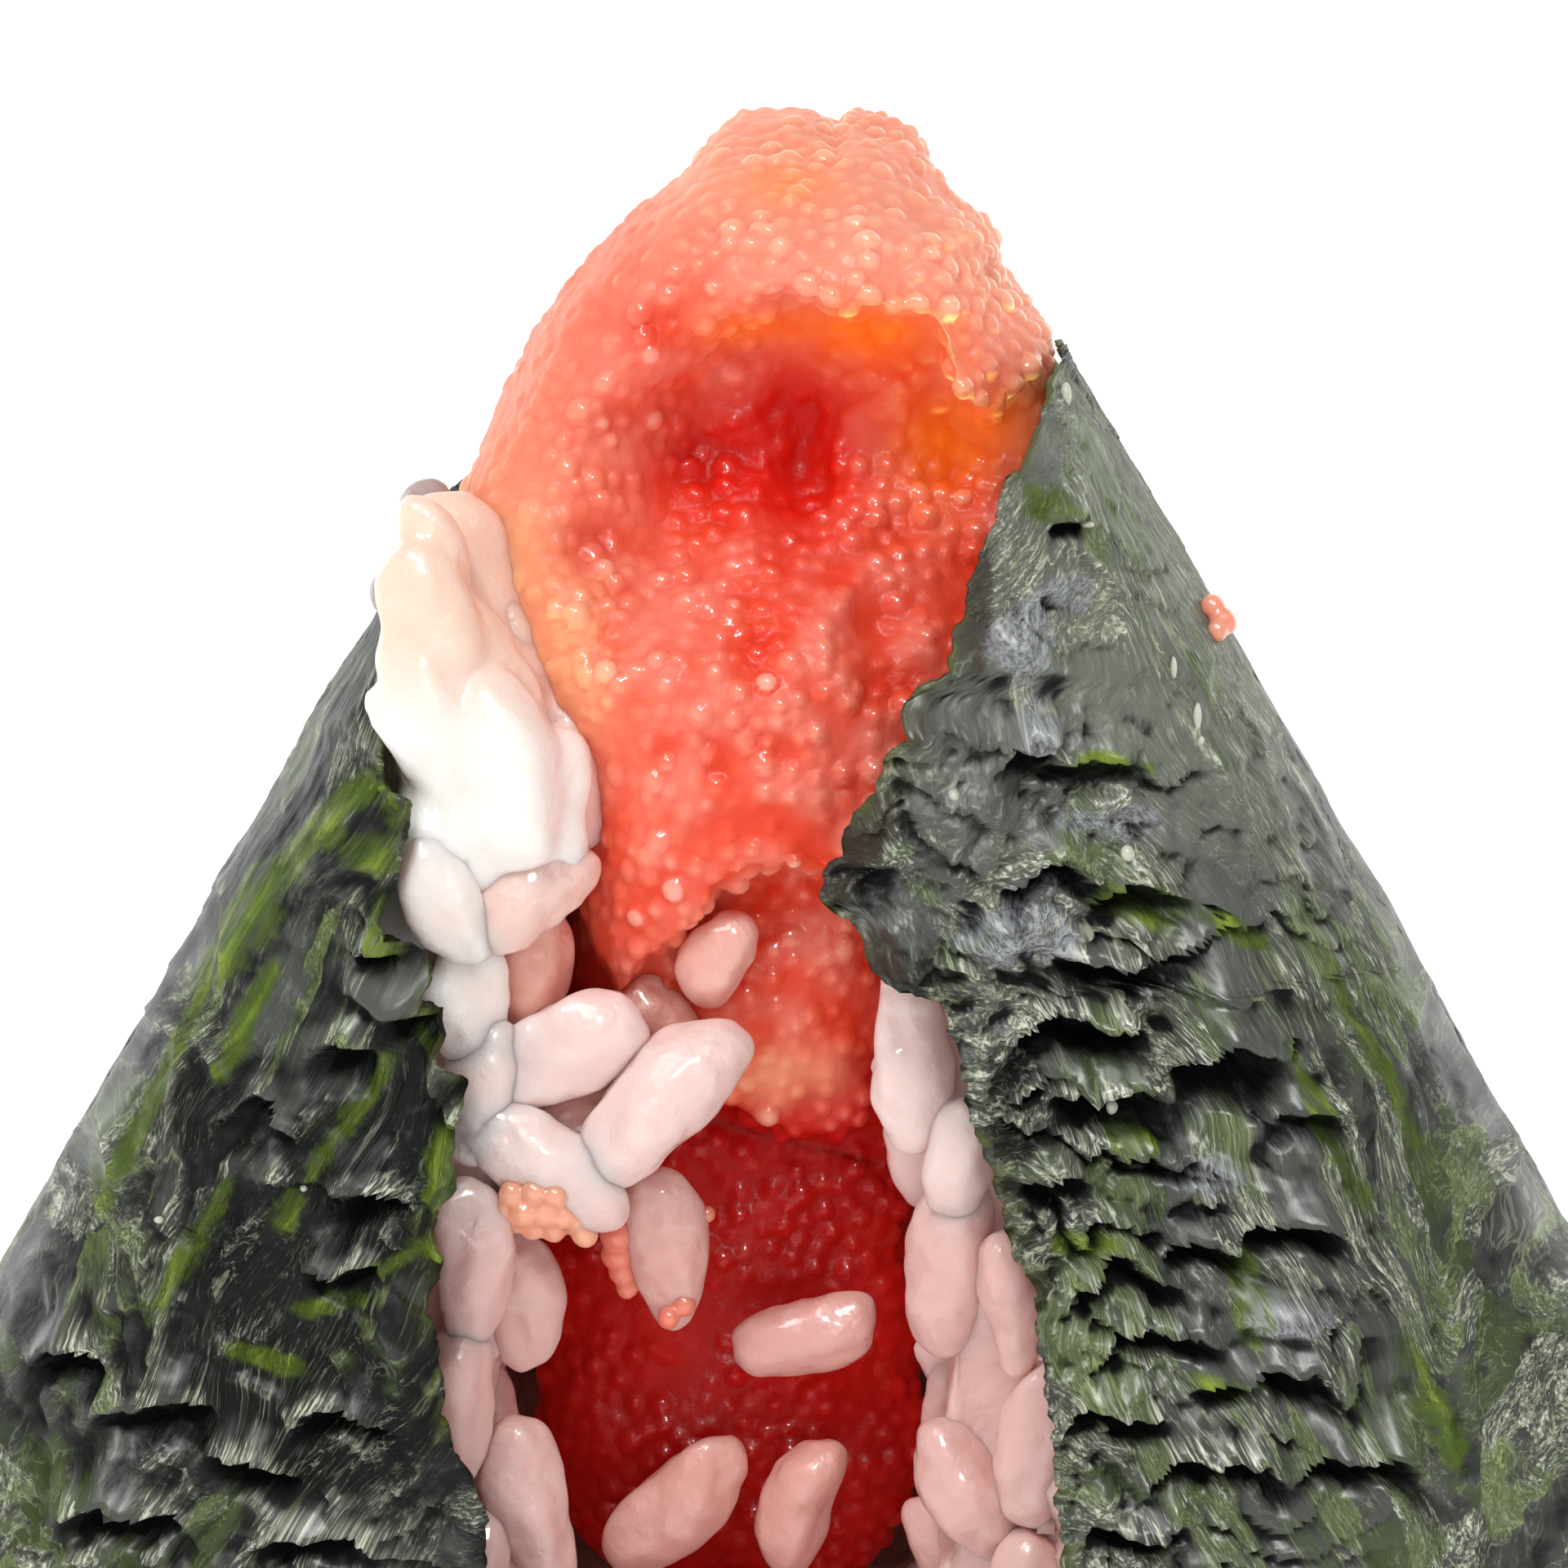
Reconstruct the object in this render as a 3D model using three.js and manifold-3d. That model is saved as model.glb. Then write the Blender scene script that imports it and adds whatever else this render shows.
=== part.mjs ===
// A triangular rice ball in a sheet of dried seaweed, opened down the front over its filling of raw
// pollock roe. Millimetres, +Z up. It stands on its base, its open face looks along -Y, and the origin is
// the middle of the base.

import * as THREE from "three";
import { ImprovedNoise } from "three/addons/math/ImprovedNoise.js";
import { mergeVertices } from "three/addons/utils/BufferGeometryUtils.js";
import Module from "manifold-3d";

const wasm = await Module();
wasm.setup();
const noise = new ImprovedNoise();
const { degToRad, lerp, smoothstep } = THREE.MathUtils;

// The wrapped triangle, measured over the seaweed
const APEX_HEIGHT = 78.3; // where its two straight sides would meet
const SIDE_LEAN = degToRad(30); // of those sides from upright
const SIDE_SLOPE = Math.tan(SIDE_LEAN);
const CORNER_RADIUS = 12; // lower corners, seen from the front
const CORNER_TOP = 1.5 * CORNER_RADIUS; // where the round of a corner runs into the straight side
const DEPTH = 36; // front to back, at the widest
const CROWN = 0.07; // how far each flat face swells in its middle, as a share of its half-depth
const DEPTH_TAPER = 0.06; // half-depth lost for each millimetre of height
const EDGE_RADIUS = 8; // from the faces into the base
const SECTION_RADIUS = 9; // upright edges, seen from above
const LEAST_RADIUS = 0.6; // that they keep however far they are drawn in
const LEAST_FLAT = 1; // half of the flat that stays between two of them
const BASE_SEAM = 0.7; // half of the slit where the sheet meets itself under the base

// The sheet and what lies under it
const SHEET = 0.6; // thickness, with its blisters
const GAP = 0.36; // between pieces that touch
const SLACK = 0.4; // more room that the sheet's flat facets need
// The folds: how high, how far apart, and how soon they reach their height
const WRINKLE = { height: 0.45, across: 7.7, into: 5, up: 2.9, gain: 2 };
const EDGE_LIFT = { height: 0.7, reach: 2.5 }; // how far the torn edges stand off the rice
// How ragged they are, with the places in the noise that the two edges and the top edge are read from
const TEAR = { depth: 0.7, pitch: 1.6, row: 2.5, left: 9.1, right: 3.4 };
const TOP_TEAR = { waves: 31, row: [4.7, 0.3], calmEnds: [0.02, 0.12] };
const SHEET_GRID = { columns: 38, rows: 22, edgeCrowding: 0.45, baseShare: 0.12, climb: 1.15 };
const FIRM = [3, 14]; // heights between which the sheet, pressed flat on its base, comes free to fold
const CORE_INSET = SHEET + GAP + SLACK;
const WELD_STEPS = [0.3, 0.25, 0.2, 0.15, 0.1, 0.05, 0.02]; // tried in turn on each cut piece
const SAME_PLACE = 1e-4; // vertices nearer than this are one

// The torn edges: height, and distance along the sheet from the middle of the front
const LEFT_EDGE = [
  [0, 0.8], [4, 1.2], [9, 9.5], [14, 11.8], [22, 13.7], [27, 13.5], [29, 12.4], [34, 12.2],
  [37, 13.6], [39, 15.2], [46, 15.2], [49, 16.6], [52.5, 23],
];
const RIGHT_EDGE = [
  [0, 0.8], [4, 1.2], [9, 8.5], [14, 10.1], [22, 9.6], [27, 8.2], [31, 6.6], [35.2, 5.6],
  [36.4, 3.8], [38.4, 2.2], [39.8, 0.6], [42.4, 2], [44.4, 3.4], [47, 4.4], [52, 7], [57, 9.2], [60.5, 17],
];
// The bitten top edge of the sheet, from its left end round the back to its right end
const TOP_EDGE = [
  [0, 52.3], [0.15, 53.6], [0.3, 55.2], [0.5, 57.6], [0.75, 58.6], [1, 60.3],
];

// The roe fills the opening from near the base up to the tip: [height, value] of its sides, middle and back
const ROE_FOOT = 8;
const ROE_TOP = 70;
const ROE_LEFT = [
  [8, -3], [9.5, -7], [12, -9.6], [15, -10.6], [24, -11.6], [31, -10.2], [36, -9.6], [42, -8.7], [44, -8.7],
  [47.5, -10.6], [51, -12.4], [53.6, -13.5], [55.3, -13.1], [58.4, -11.8], [61.6, -10.2], [64.7, -8.1],
  [67.2, -5.6], [68.6, -3.9], [69.6, -2], [70, -0.2],
];
const ROE_RIGHT = [
  [8, 0.5], [9.5, 3], [12, 4.6], [15, 5.5], [24, 5.3], [31, 4.9], [36, 5.2], [40, 6.2], [48, 8.6], [52, 9.7],
  [56, 10.5], [60.2, 10.1], [62.8, 9], [65, 8.1], [67, 6], [68.6, 4.6], [69.6, 2.4], [70, 0.4],
];
const ROE_MIDDLE = [[8, 0], [50, 0], [60, 1], [70, 1.4]];
const ROE_BACK = [[8, 2], [12, 6.5], [40, 7.5], [56, 9.6], [62, 8.8], [67, 6], [69.4, 3], [70, 1.6]];
// How far forward its three layers come: the one in the depth, the fold behind the lip, and the belly and tip
const ROE_DEEP = [[8, -1], [10, -5], [16, -6.4], [26, -5.8], [36, -6]];
const ROE_FOLD = [[28, -7.5], [32, -9.4], [36, -10], [42, -8.6]];
const ROE_FRONT = [
  [35, -11.4], [38, -12.6], [43, -13.4], [47, -13.2], [50, -12], [53, -10.6], [60, -10], [63, -10],
  [65.5, -8.6], [67.5, -6], [69, -2.8], [70, 1.2],
];
// Where those layers end, from left to right: [across, height]
const STEP_WIDTH = 0.5; // half of the height over which one layer gives way to the next
const LIP_LINE = [[-9, 39], [-6.9, 35.9], [-5, 37.2], [-3, 39.6], [-1, 40.6], [3, 39.8]];
const FOLD_LINE = [[-7, 33], [-2.8, 31.2], [0, 30.2], [3, 30.8], [6, 30]];
const BITE = { x: -1.4, z: 56.2, halfWidth: 6, halfHeight: 3.6, depth: 9 };
const ROE_LUMP = { height: 0.5, pitch: 2.4, rows: [3.1, 7.3] }; // the rows are places in the noise
const ROE_SQUARENESS = 0.6; // of its level section: 1 is a round one, and near 0 a square one
const SAC_GRID = { around: 28, along: 36 };
const SAC_ENDS = [0.75, 1]; // shares of its half-height between which a margin comes to lift its ends
// Eggs that cling to a grain, by their middles
const CLINGING_EGGS = [
  [-11.2, -14.6, 28], [-10.3, -14.9, 27.6], [-9.5, -14.6, 27.3], [-8.7, -14.4, 27], [-8.1, -14.3, 26.3],
];
const EGG = { radius: 0.75, around: 6, along: 4 };

// The opening in front of the roe, and how far the rice stops below the top edge of the sheet
const OPENING = { front: -20, squareness: 0.25 };
const MOUTH = { margin: 4.6, y: -12.6 }; // where it widens, up to the front of the sheet
const RIM_DROP = 1.4;
const RICE_TOP = 55;
const CORE_GRID = { around: 32, rows: 10, climb: 1.3 };

// Cooked grains
const GRAIN = { length: 7.4, width: 3.5, flatness: 0.84, bluntness: 0.16, around: 6, along: 4 };
// The grains that show one by one: middle, length, width, tilt from level, lean to the front (degrees)
const SHOWN_GRAINS = [
  [-5.2, -12.9, 31.6, 7.9, 3.9, 42, -6], [-8.8, -12.2, 33.6, 6.4, 3.6, 24, 4],
  [-5.1, -10.6, 25.9, 6.3, 3.4, 104, 12], [-10, -13, 29.4, 7, 3.6, 136, 0],
  [-11.6, -12.8, 32, 6.6, 3.4, 70, 0],
  [-13.4, -14.7, 39.6, 5.6, 3.2, 72, 8], [-10, -13.2, 39.2, 6.6, 3.4, 32, -8],
  [-10.4, -11.2, 36.2, 5.4, 3.4, 86, 0], [-12.9, -13.6, 47, 7.2, 4.2, 118, 6],
  [-13.2, -11.8, 51, 6, 3.4, 124, 10], [-10.6, -13.4, 44.6, 7.8, 3.8, 100, 0],
  [-8.7, -12.4, 42.6, 6.4, 2.8, 88, 0], [-12, -14.2, 42.4, 6.4, 3.6, 62, 0],
  [-11, -11.6, 49.2, 6.8, 3.6, 122, 0], [-9, -10.8, 29.8, 6.4, 3.4, 30, 0],
  [-12.6, -13.6, 25.2, 6.6, 3.4, 92, 0], [-10.8, -11.4, 23.4, 6.2, 3.2, 100, 0],
  [4.1, -12.4, 33, 7.8, 3.3, 95, 0], [6, -13, 29.2, 5.2, 3.3, 80, 0],
  [6, -12, 24.8, 7.4, 3.7, 86, 4], [8.4, -13.4, 23.6, 6, 3, 100, 0],
  [6.8, -12.2, 15.8, 6.6, 3.6, 124, 0], [-10.4, -12.8, 15.4, 7.2, 3.4, 102, 0],
  [-6.2, -12.6, 9.4, 7, 3.6, 28, 0], [-1.4, -13.4, 7.6, 7.2, 3.6, 6, 0],
  [3.4, -12.6, 9, 6.8, 3.5, 146, 0], [-3.4, -10.4, 9.4, 6.4, 3.4, 170, 0],
  [-13.2, -13.6, 19.6, 6.4, 3.3, 84, 0], [-13, -13.4, 12.4, 6.4, 3.4, 66, 0],
  [-9.4, -13.4, 8.2, 6.2, 3.4, 128, 0], [-4.6, -13.2, 5.6, 6.4, 3.4, 172, 0],
  [9.4, -13.6, 18, 6.6, 3.4, 78, 0], [9.6, -13.4, 11.6, 6.2, 3.4, 112, 0],
  [6.6, -13.4, 8.6, 6.2, 3.4, 48, 0], [1.8, -13.2, 5.4, 6.6, 3.4, 12, 0],
];
// Grains that lie on the roe, clear of the rest
const LOOSE_GRAINS = [
  [-2.9, -11.4, 37.4, 5.6, 3.2, 52, 8], [-4.7, -8.6, 14.6, 6.8, 3.6, 40, 0],
  [0.1, -8.7, 14.6, 5.6, 3.2, 70, 0], [0.4, -8.8, 21.4, 6, 3.3, 12, 0],
];
// Rows of grains along both walls: how far forward, and how far apart in height
const WALL_ROWS = [{ y: -13.4, step: 4.4 }, { y: -8.8, step: 6.4 }];
const WALL_GRAINS = {
  from: 12, to: 50, clear: 4, standOff: [1.1, 1.6], jitter: 1.4,
  sizes: [0.86, 1.06], tilts: [60, 130], leans: [-10, 10],
};
// Grains round the back of the bite, in two rows: how far in, and how far below the edge of the sheet
const RIM_GRAINS = {
  count: 15, turns: [0.5, 1.46], insets: [1.3, 3.2], drops: [1.6, 0.4], jitter: { along: 0.4, up: 0.8 },
  sizes: [0.85, 1.05], shorter: 0.8, tilts: [0, 180], leans: [-30, 30],
};
// A linear congruential generator
const DRAW = { seed: 20, factor: 1664525, step: 1013904223, range: 2 ** 32 };

// A repeatable draw from 0 to 1
function makeDraw({ seed, factor, step, range }) {
  let state = seed;
  return () => {
    state = (state * factor + step) % range;
    return state / range;
  };
}

// The value at a key of a polyline of [key, value] points
function along(points, key) {
  const next = points.findIndex(([k]) => k > key);
  if (next === 0) return points[0][1];
  if (next < 0) return points[points.length - 1][1];
  const [k0, v0] = points[next - 1];
  const [k1, v1] = points[next];
  return lerp(v0, v1, (key - k0) / (k1 - k0));
}

// Half-width, half-depth and edge radius of the level section at a height, drawn in by an inset
function section(z, inset) {
  const drop = Math.max(0, EDGE_RADIUS - z);
  const depth = DEPTH / 2 / (1 + CROWN) - DEPTH_TAPER * Math.max(0, z - EDGE_RADIUS);
  const halfDepth = depth - EDGE_RADIUS + Math.sqrt(EDGE_RADIUS ** 2 - drop ** 2);
  let halfWidth = (APEX_HEIGHT - z) * SIDE_SLOPE;
  if (z < CORNER_TOP) {
    const centre = (APEX_HEIGHT - CORNER_RADIUS) * SIDE_SLOPE - CORNER_RADIUS / Math.cos(SIDE_LEAN);
    halfWidth = centre + Math.sqrt(CORNER_RADIUS ** 2 - (CORNER_RADIUS - z) ** 2);
  }
  return {
    a: halfWidth - inset,
    b: halfDepth - inset,
    r: Math.max(LEAST_RADIUS, Math.min(SECTION_RADIUS, halfDepth - LEAST_FLAT) - inset),
  };
}

// The lengths of the straight and round stretches of half a section, from the front middle to the back middle
function stretches({ a, b, r }) {
  const bend = (Math.PI / 2) * r;
  return [a - r, bend, 2 * (b - r), bend, a - r];
}

const halfGirth = (s) => stretches(s).reduce((sum, length) => sum + length, 0);

// A point of a section: turn runs from 0 at the front middle, over the left side, to 1 at the back and
// to 2 in front again
function sectionPoint(s, turn) {
  const { a, b, r } = s;
  const lengths = stretches(s);
  let run = (turn <= 1 ? turn : 2 - turn) * halfGirth(s);
  let leg = 0;
  while (leg < 4 && run > lengths[leg]) {
    run -= lengths[leg];
    leg += 1;
  }
  const t = run / r;
  const [x, y] = [
    [run, -b],
    [a - r + r * Math.sin(t), -b + r - r * Math.cos(t)],
    [a, -b + r + run],
    [a - r + r * Math.cos(t), b - r + r * Math.sin(t)],
    [a - r - run, b],
  ][leg];
  const swell = 1 + CROWN * Math.max(0, 1 - (x / a) ** 2);
  return [turn <= 1 ? -x : x, y * swell];
}

// A point of the wrap, at a depth under its outer face
function wrapPoint(turn, z, baseInset, depth) {
  const [x, y] = sectionPoint(section(z, baseInset + depth), turn);
  return [x, y, z + depth * Math.max(0, 1 - z / EDGE_RADIUS)];
}

// A closed geometry as a solid
function solid(geometry) {
  const bare = geometry.index ? geometry.toNonIndexed() : geometry.clone();
  bare.deleteAttribute("normal");
  bare.deleteAttribute("uv");
  const merged = mergeVertices(bare, SAME_PLACE);
  return new wasm.Manifold(
    new wasm.Mesh({
      numProp: 3,
      vertProperties: merged.attributes.position.array,
      triVerts: new Uint32Array(merged.index.array),
    }),
  );
}

// A mesh with the slivers that cutting leaves closed up: corners within a step of each other become one
function welded({ vertProperties, triVerts }, step) {
  const bare = new THREE.BufferGeometry();
  bare.setAttribute("position", new THREE.BufferAttribute(vertProperties, 3));
  bare.setIndex(new THREE.BufferAttribute(triVerts, 1));
  const merged = mergeVertices(bare.toNonIndexed(), step);
  const corners = merged.index.array;
  const kept = new Map();
  for (let i = 0; i < corners.length; i += 3) {
    const [a, b, c] = corners.slice(i, i + 3);
    if (a === b || b === c || c === a) continue;
    const key = [a, b, c].sort((p, q) => p - q).join();
    if (!kept.delete(key)) kept.set(key, [a, b, c]);
  }
  return { positions: merged.attributes.position.array, triangles: [...kept.values()] };
}

// Whether each edge of some triangles has exactly two of them
function isClosed(triangles) {
  const uses = new Map();
  for (const [a, b, c] of triangles)
    for (const [p, q] of [[a, b], [b, c], [c, a]]) {
      const key = p < q ? `${p},${q}` : `${q},${p}`;
      uses.set(key, (uses.get(key) ?? 0) + 1);
    }
  return [...uses.values()].every((count) => count === 2);
}

// The largest body of a solid, with no slivers, scraps or sealed hollows
function wholePiece(made) {
  const largest = (some) => some.decompose().sort((a, b) => b.volume() - a.volume())[0];
  const body = largest(made);
  for (const step of WELD_STEPS) {
    const { positions, triangles } = welded(body.getMesh(), step);
    if (!isClosed(triangles)) continue;
    const triVerts = new Uint32Array(triangles.flat());
    return largest(new wasm.Manifold(new wasm.Mesh({ numProp: 3, vertProperties: positions, triVerts })));
  }
  return body;
}

const join = (solids) => solids.reduce((sum, next) => sum.add(next));

// Moves each vertex of a geometry to where a function of its own place puts it
function shaped(geometry, place) {
  const position = geometry.attributes.position;
  for (let i = 0; i < position.count; i++)
    position.setXYZ(i, ...place(position.getX(i), position.getY(i), position.getZ(i)));
  return geometry;
}

// Where a point of the sheet lies: s runs from its left torn edge round the back to the right one, and v up
function sheetPlace(s, v, margin) {
  const { edgeCrowding, baseShare, climb } = SHEET_GRID;
  const round = s - (edgeCrowding * Math.sin(2 * Math.PI * s)) / (2 * Math.PI);
  const calm = smoothstep(Math.min(s, 1 - s), ...TOP_TEAR.calmEnds);
  const ragged = TEAR.depth * noise.noise(s * TOP_TEAR.waves, ...TOP_TEAR.row) * calm;
  const rise = Math.max(0, (v - baseShare) / (1 - baseShare)) ** climb;
  const z = (along(TOP_EDGE, round) + ragged + margin) * rise;
  const baseInset = Math.max(0, 1 - v / baseShare) * (section(0, 0).b - BASE_SEAM - margin);
  const girth = halfGirth(section(z, 0));
  const tear = (side) => TEAR.depth * noise.noise(z / TEAR.pitch, side, TEAR.row) - margin;
  const left = (along(LEFT_EDGE, z) + tear(TEAR.left)) / girth;
  const right = 2 - (along(RIGHT_EDGE, z) + tear(TEAR.right)) / girth;
  const fromEdge = Math.min(round, 1 - round) * (right - left) * girth;
  return { turn: lerp(left, right, round), z, baseInset, fromEdge };
}

// How far the sheet stands off the rice at a place, for its folds and its curling edges
function sheetLift({ turn, z, baseInset, fromEdge }) {
  const [x, y] = wrapPoint(turn, z, baseInset, 0);
  const fold = Math.abs(noise.noise(x / WRINKLE.across, y / WRINKLE.into, z / WRINKLE.up));
  const curl = EDGE_LIFT.height * Math.exp(-fromEdge / EDGE_LIFT.reach);
  return smoothstep(z, ...FIRM) * (WRINKLE.height * Math.min(1, WRINKLE.gain * fold) + curl);
}

// The seaweed: a thin box bent round the triangle. A margin makes the space that it needs.
function seaweed(margin) {
  const box = new THREE.BoxGeometry(1, 1, 1, SHEET_GRID.columns, SHEET_GRID.rows, 1);
  return shaped(box, (x, y, t) => {
    const place = sheetPlace(x + 0.5, y + 0.5, margin);
    const depth = lerp(-margin, SHEET + margin, t + 0.5) - sheetLift(place);
    return wrapPoint(place.turn, place.z, place.baseInset, depth);
  });
}

// The pressed rice inside the wrap, before the opening is dug into it
function riceCore() {
  const barrel = new THREE.CylinderGeometry(1, 1, 1, CORE_GRID.around, CORE_GRID.rows);
  return shaped(barrel, (x, y, z) => {
    const turn = (Math.atan2(-x, z) / Math.PI + 2) % 2;
    const reach = Math.hypot(x, z);
    const top = Math.min(RICE_TOP, along(TOP_EDGE, turn / 2) - RIM_DROP);
    const [px, py, pz] = wrapPoint(turn, top * (y + 0.5) ** CORE_GRID.climb, 0, CORE_INSET);
    return [px * reach, py * reach, pz];
  });
}

// How far forward the roe comes at a place on its face
function roeFront(x, z) {
  const over = (line) => smoothstep(z - along(line, x), -STEP_WIDTH, STEP_WIDTH);
  const behindLip = lerp(along(ROE_DEEP, z), along(ROE_FOLD, z), over(FOLD_LINE));
  const layered = lerp(behindLip, along(ROE_FRONT, z), over(LIP_LINE));
  const across = (x - BITE.x) / BITE.halfWidth;
  const up = (z - BITE.z) / BITE.halfHeight;
  return layered + BITE.depth * Math.exp(-(across ** 2) - up ** 2);
}

// A value without the last digits, in which the two ends of a sphere's seam differ
const rounded = (value) => Math.round(value * 1e5) / 1e5;

// A sphere drawn out between the two sides of the roe, its back and a face of any shape
function sac(face, squareness, margin) {
  const sphere = new THREE.SphereGeometry(1, SAC_GRID.around, SAC_GRID.along);
  return shaped(sphere, (x, y, z) => {
    const reach = Math.hypot(x, z);
    const [across, ahead] = reach > 1e-6 ? [rounded(x / reach), rounded(z / reach)] : [0, 1];
    const height = lerp(ROE_TOP, ROE_FOOT, Math.acos(THREE.MathUtils.clamp(y, -1, 1)) / Math.PI);
    const side = Math.sign(across) * Math.abs(across) ** squareness;
    const px = lerp(along(ROE_LEFT, height) - margin, along(ROE_RIGHT, height) + margin, (side + 1) / 2);
    const end = ahead > 0 ? face(px, height) - margin : along(ROE_BACK, height) + margin;
    const py = lerp(along(ROE_MIDDLE, height), end, Math.abs(ahead) ** squareness);
    return [px, py, height + Math.sign(y) * margin * smoothstep(Math.abs(y), ...SAC_ENDS)];
  });
}

// The roe, lumpy all over, grown by a margin
function roeSac(margin) {
  const { height, pitch, rows } = ROE_LUMP;
  return shaped(sac(roeFront, ROE_SQUARENESS, margin), (x, y, z) => {
    const [shiftX, shiftY] = rows.map((row) => height * noise.noise(x / pitch, y / pitch + row, z / pitch));
    return [x + shiftX, y + shiftY, z];
  });
}

// The room that the roe and the opening before it take in the rice
function opening() {
  const recess = sac(() => OPENING.front, OPENING.squareness, GAP);
  const mouth = shaped(sac(() => OPENING.front, OPENING.squareness, MOUTH.margin), (x, y, z) => [
    x,
    Math.min(y, MOUTH.y),
    z,
  ]);
  return join([recess, mouth, roeSac(GAP)].map(solid));
}

// One cooked grain, blunt at both ends, grown by a margin
function grain([x, y, z, length, width, tilt, lean], margin = 0) {
  const geometry = new THREE.SphereGeometry(1, GRAIN.around, GRAIN.along);
  shaped(geometry, (px, py, pz) => {
    const blunt = 1 - GRAIN.bluntness * py * py;
    return [
      (px * width * 0.5) / blunt + px * margin,
      py * (length / 2 + margin),
      (pz * width * 0.5 * GRAIN.flatness) / blunt + pz * margin,
    ];
  });
  geometry.rotateX(Math.PI / 2 + degToRad(lean));
  geometry.rotateY(Math.PI / 2 - degToRad(tilt));
  return geometry.translate(x, y, z);
}

// Grains along both walls of the opening, near its mouth and deeper in, where none is named
function wallGrains(draw) {
  const { from, to, clear, standOff, jitter, sizes, tilts, leans } = WALL_GRAINS;
  const grains = [];
  for (const [side, edge] of [[-1, ROE_LEFT], [1, ROE_RIGHT]])
    for (const { y, step } of WALL_ROWS)
      for (let low = from; low < to; low += step) {
        const z = low + jitter * draw();
        const x = along(edge, z) + side * lerp(...standOff, draw());
        const size = lerp(...sizes, draw());
        const tilt = lerp(...tilts, draw());
        const isNamed = SHOWN_GRAINS.some((g) => Math.hypot(g[0] - x, g[1] - y, g[2] - z) < clear);
        if (isNamed) continue;
        grains.push([x, y, z, GRAIN.length * size, GRAIN.width * size, tilt, lerp(...leans, draw())]);
      }
  return grains;
}

// Grains that stand out of the bitten rim
function rimGrains(draw) {
  const { count, turns, insets, drops, jitter, sizes, shorter, tilts, leans } = RIM_GRAINS;
  return Array.from({ length: count }, (_, i) => {
    const row = i % 2;
    const turn = lerp(...turns, (i + jitter.along * draw()) / count);
    const z = along(TOP_EDGE, turn / 2) - drops[row] + jitter.up * draw();
    const [x, y] = sectionPoint(section(z, CORE_INSET + insets[row]), turn);
    const size = lerp(...sizes, draw());
    const tilt = lerp(...tilts, draw());
    return [x, y, z, GRAIN.length * size * shorter, GRAIN.width * size, tilt, lerp(...leans, draw())];
  });
}

const draw = makeDraw(DRAW);
const spaceForSheet = solid(seaweed(GAP));
const clusters = [...SHOWN_GRAINS, ...wallGrains(draw), ...rimGrains(draw)];
const eggs = CLINGING_EGGS.map((at) =>
  solid(new THREE.SphereGeometry(EGG.radius, EGG.around, EGG.along).translate(...at)),
);

const rice = wholePiece(
  solid(riceCore())
    .subtract(opening())
    .add(join([...clusters.map((g) => solid(grain(g))), ...eggs]).subtract(spaceForSheet)),
);
const spaceForGrains = join([...clusters, ...LOOSE_GRAINS].map((g) => solid(grain(g, GAP))));
const roe = wholePiece(solid(roeSac(0)).subtract(spaceForGrains).subtract(spaceForSheet));
const looseGrains = LOOSE_GRAINS.map((g) => solid(grain(g)));

const MATERIALS = {
  seaweed: new THREE.MeshStandardMaterial({ color: 0x1d241f, roughness: 0.45, metalness: 0 }),
  rice: new THREE.MeshStandardMaterial({ color: 0xf0e6e0, roughness: 0.35, metalness: 0 }),
  roe: new THREE.MeshStandardMaterial({ color: 0xea5a3c, roughness: 0.3, metalness: 0 }),
};

// A named mesh of a solid
function piece(name, made, material) {
  const { vertProperties, triVerts, numProp } = made.getMesh();
  const geometry = new THREE.BufferGeometry();
  const position = new THREE.InterleavedBuffer(vertProperties, numProp);
  geometry.setAttribute("position", new THREE.InterleavedBufferAttribute(position, 3, 0));
  geometry.setIndex(new THREE.BufferAttribute(triVerts, 1));
  geometry.computeVertexNormals();
  const mesh = new THREE.Mesh(geometry, material);
  mesh.name = name;
  return mesh;
}

const riceBall = new THREE.Group();
riceBall.add(piece("seaweed_sheet", solid(seaweed(0)), MATERIALS.seaweed));
riceBall.add(piece("rice", rice, MATERIALS.rice));
riceBall.add(piece("pollock_roe", roe, MATERIALS.roe));
looseGrains.forEach((made, i) => riceBall.add(piece(`loose_grain_${i + 1}`, made, MATERIALS.rice)));

export default riceBall;
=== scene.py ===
# %% [markdown]
# # A rice ball opened over its filling of raw pollock roe
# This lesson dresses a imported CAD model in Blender. The model is a triangular rice ball in a sheet of
# dried seaweed. The sheet is torn open down the front and the tip is bitten off, so the roe and the rice
# show. The CAD solids give the size and the place of everything. Here each of them is replaced by a finer
# piece of the same form: a wrinkled sheet, grains one by one, and a skin of tiny eggs.

# %% Load the frame
import math
from types import SimpleNamespace

import bmesh
import bpy
import numpy as np
from mathutils import Matrix, Vector, noise
from mathutils.kdtree import KDTree


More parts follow.
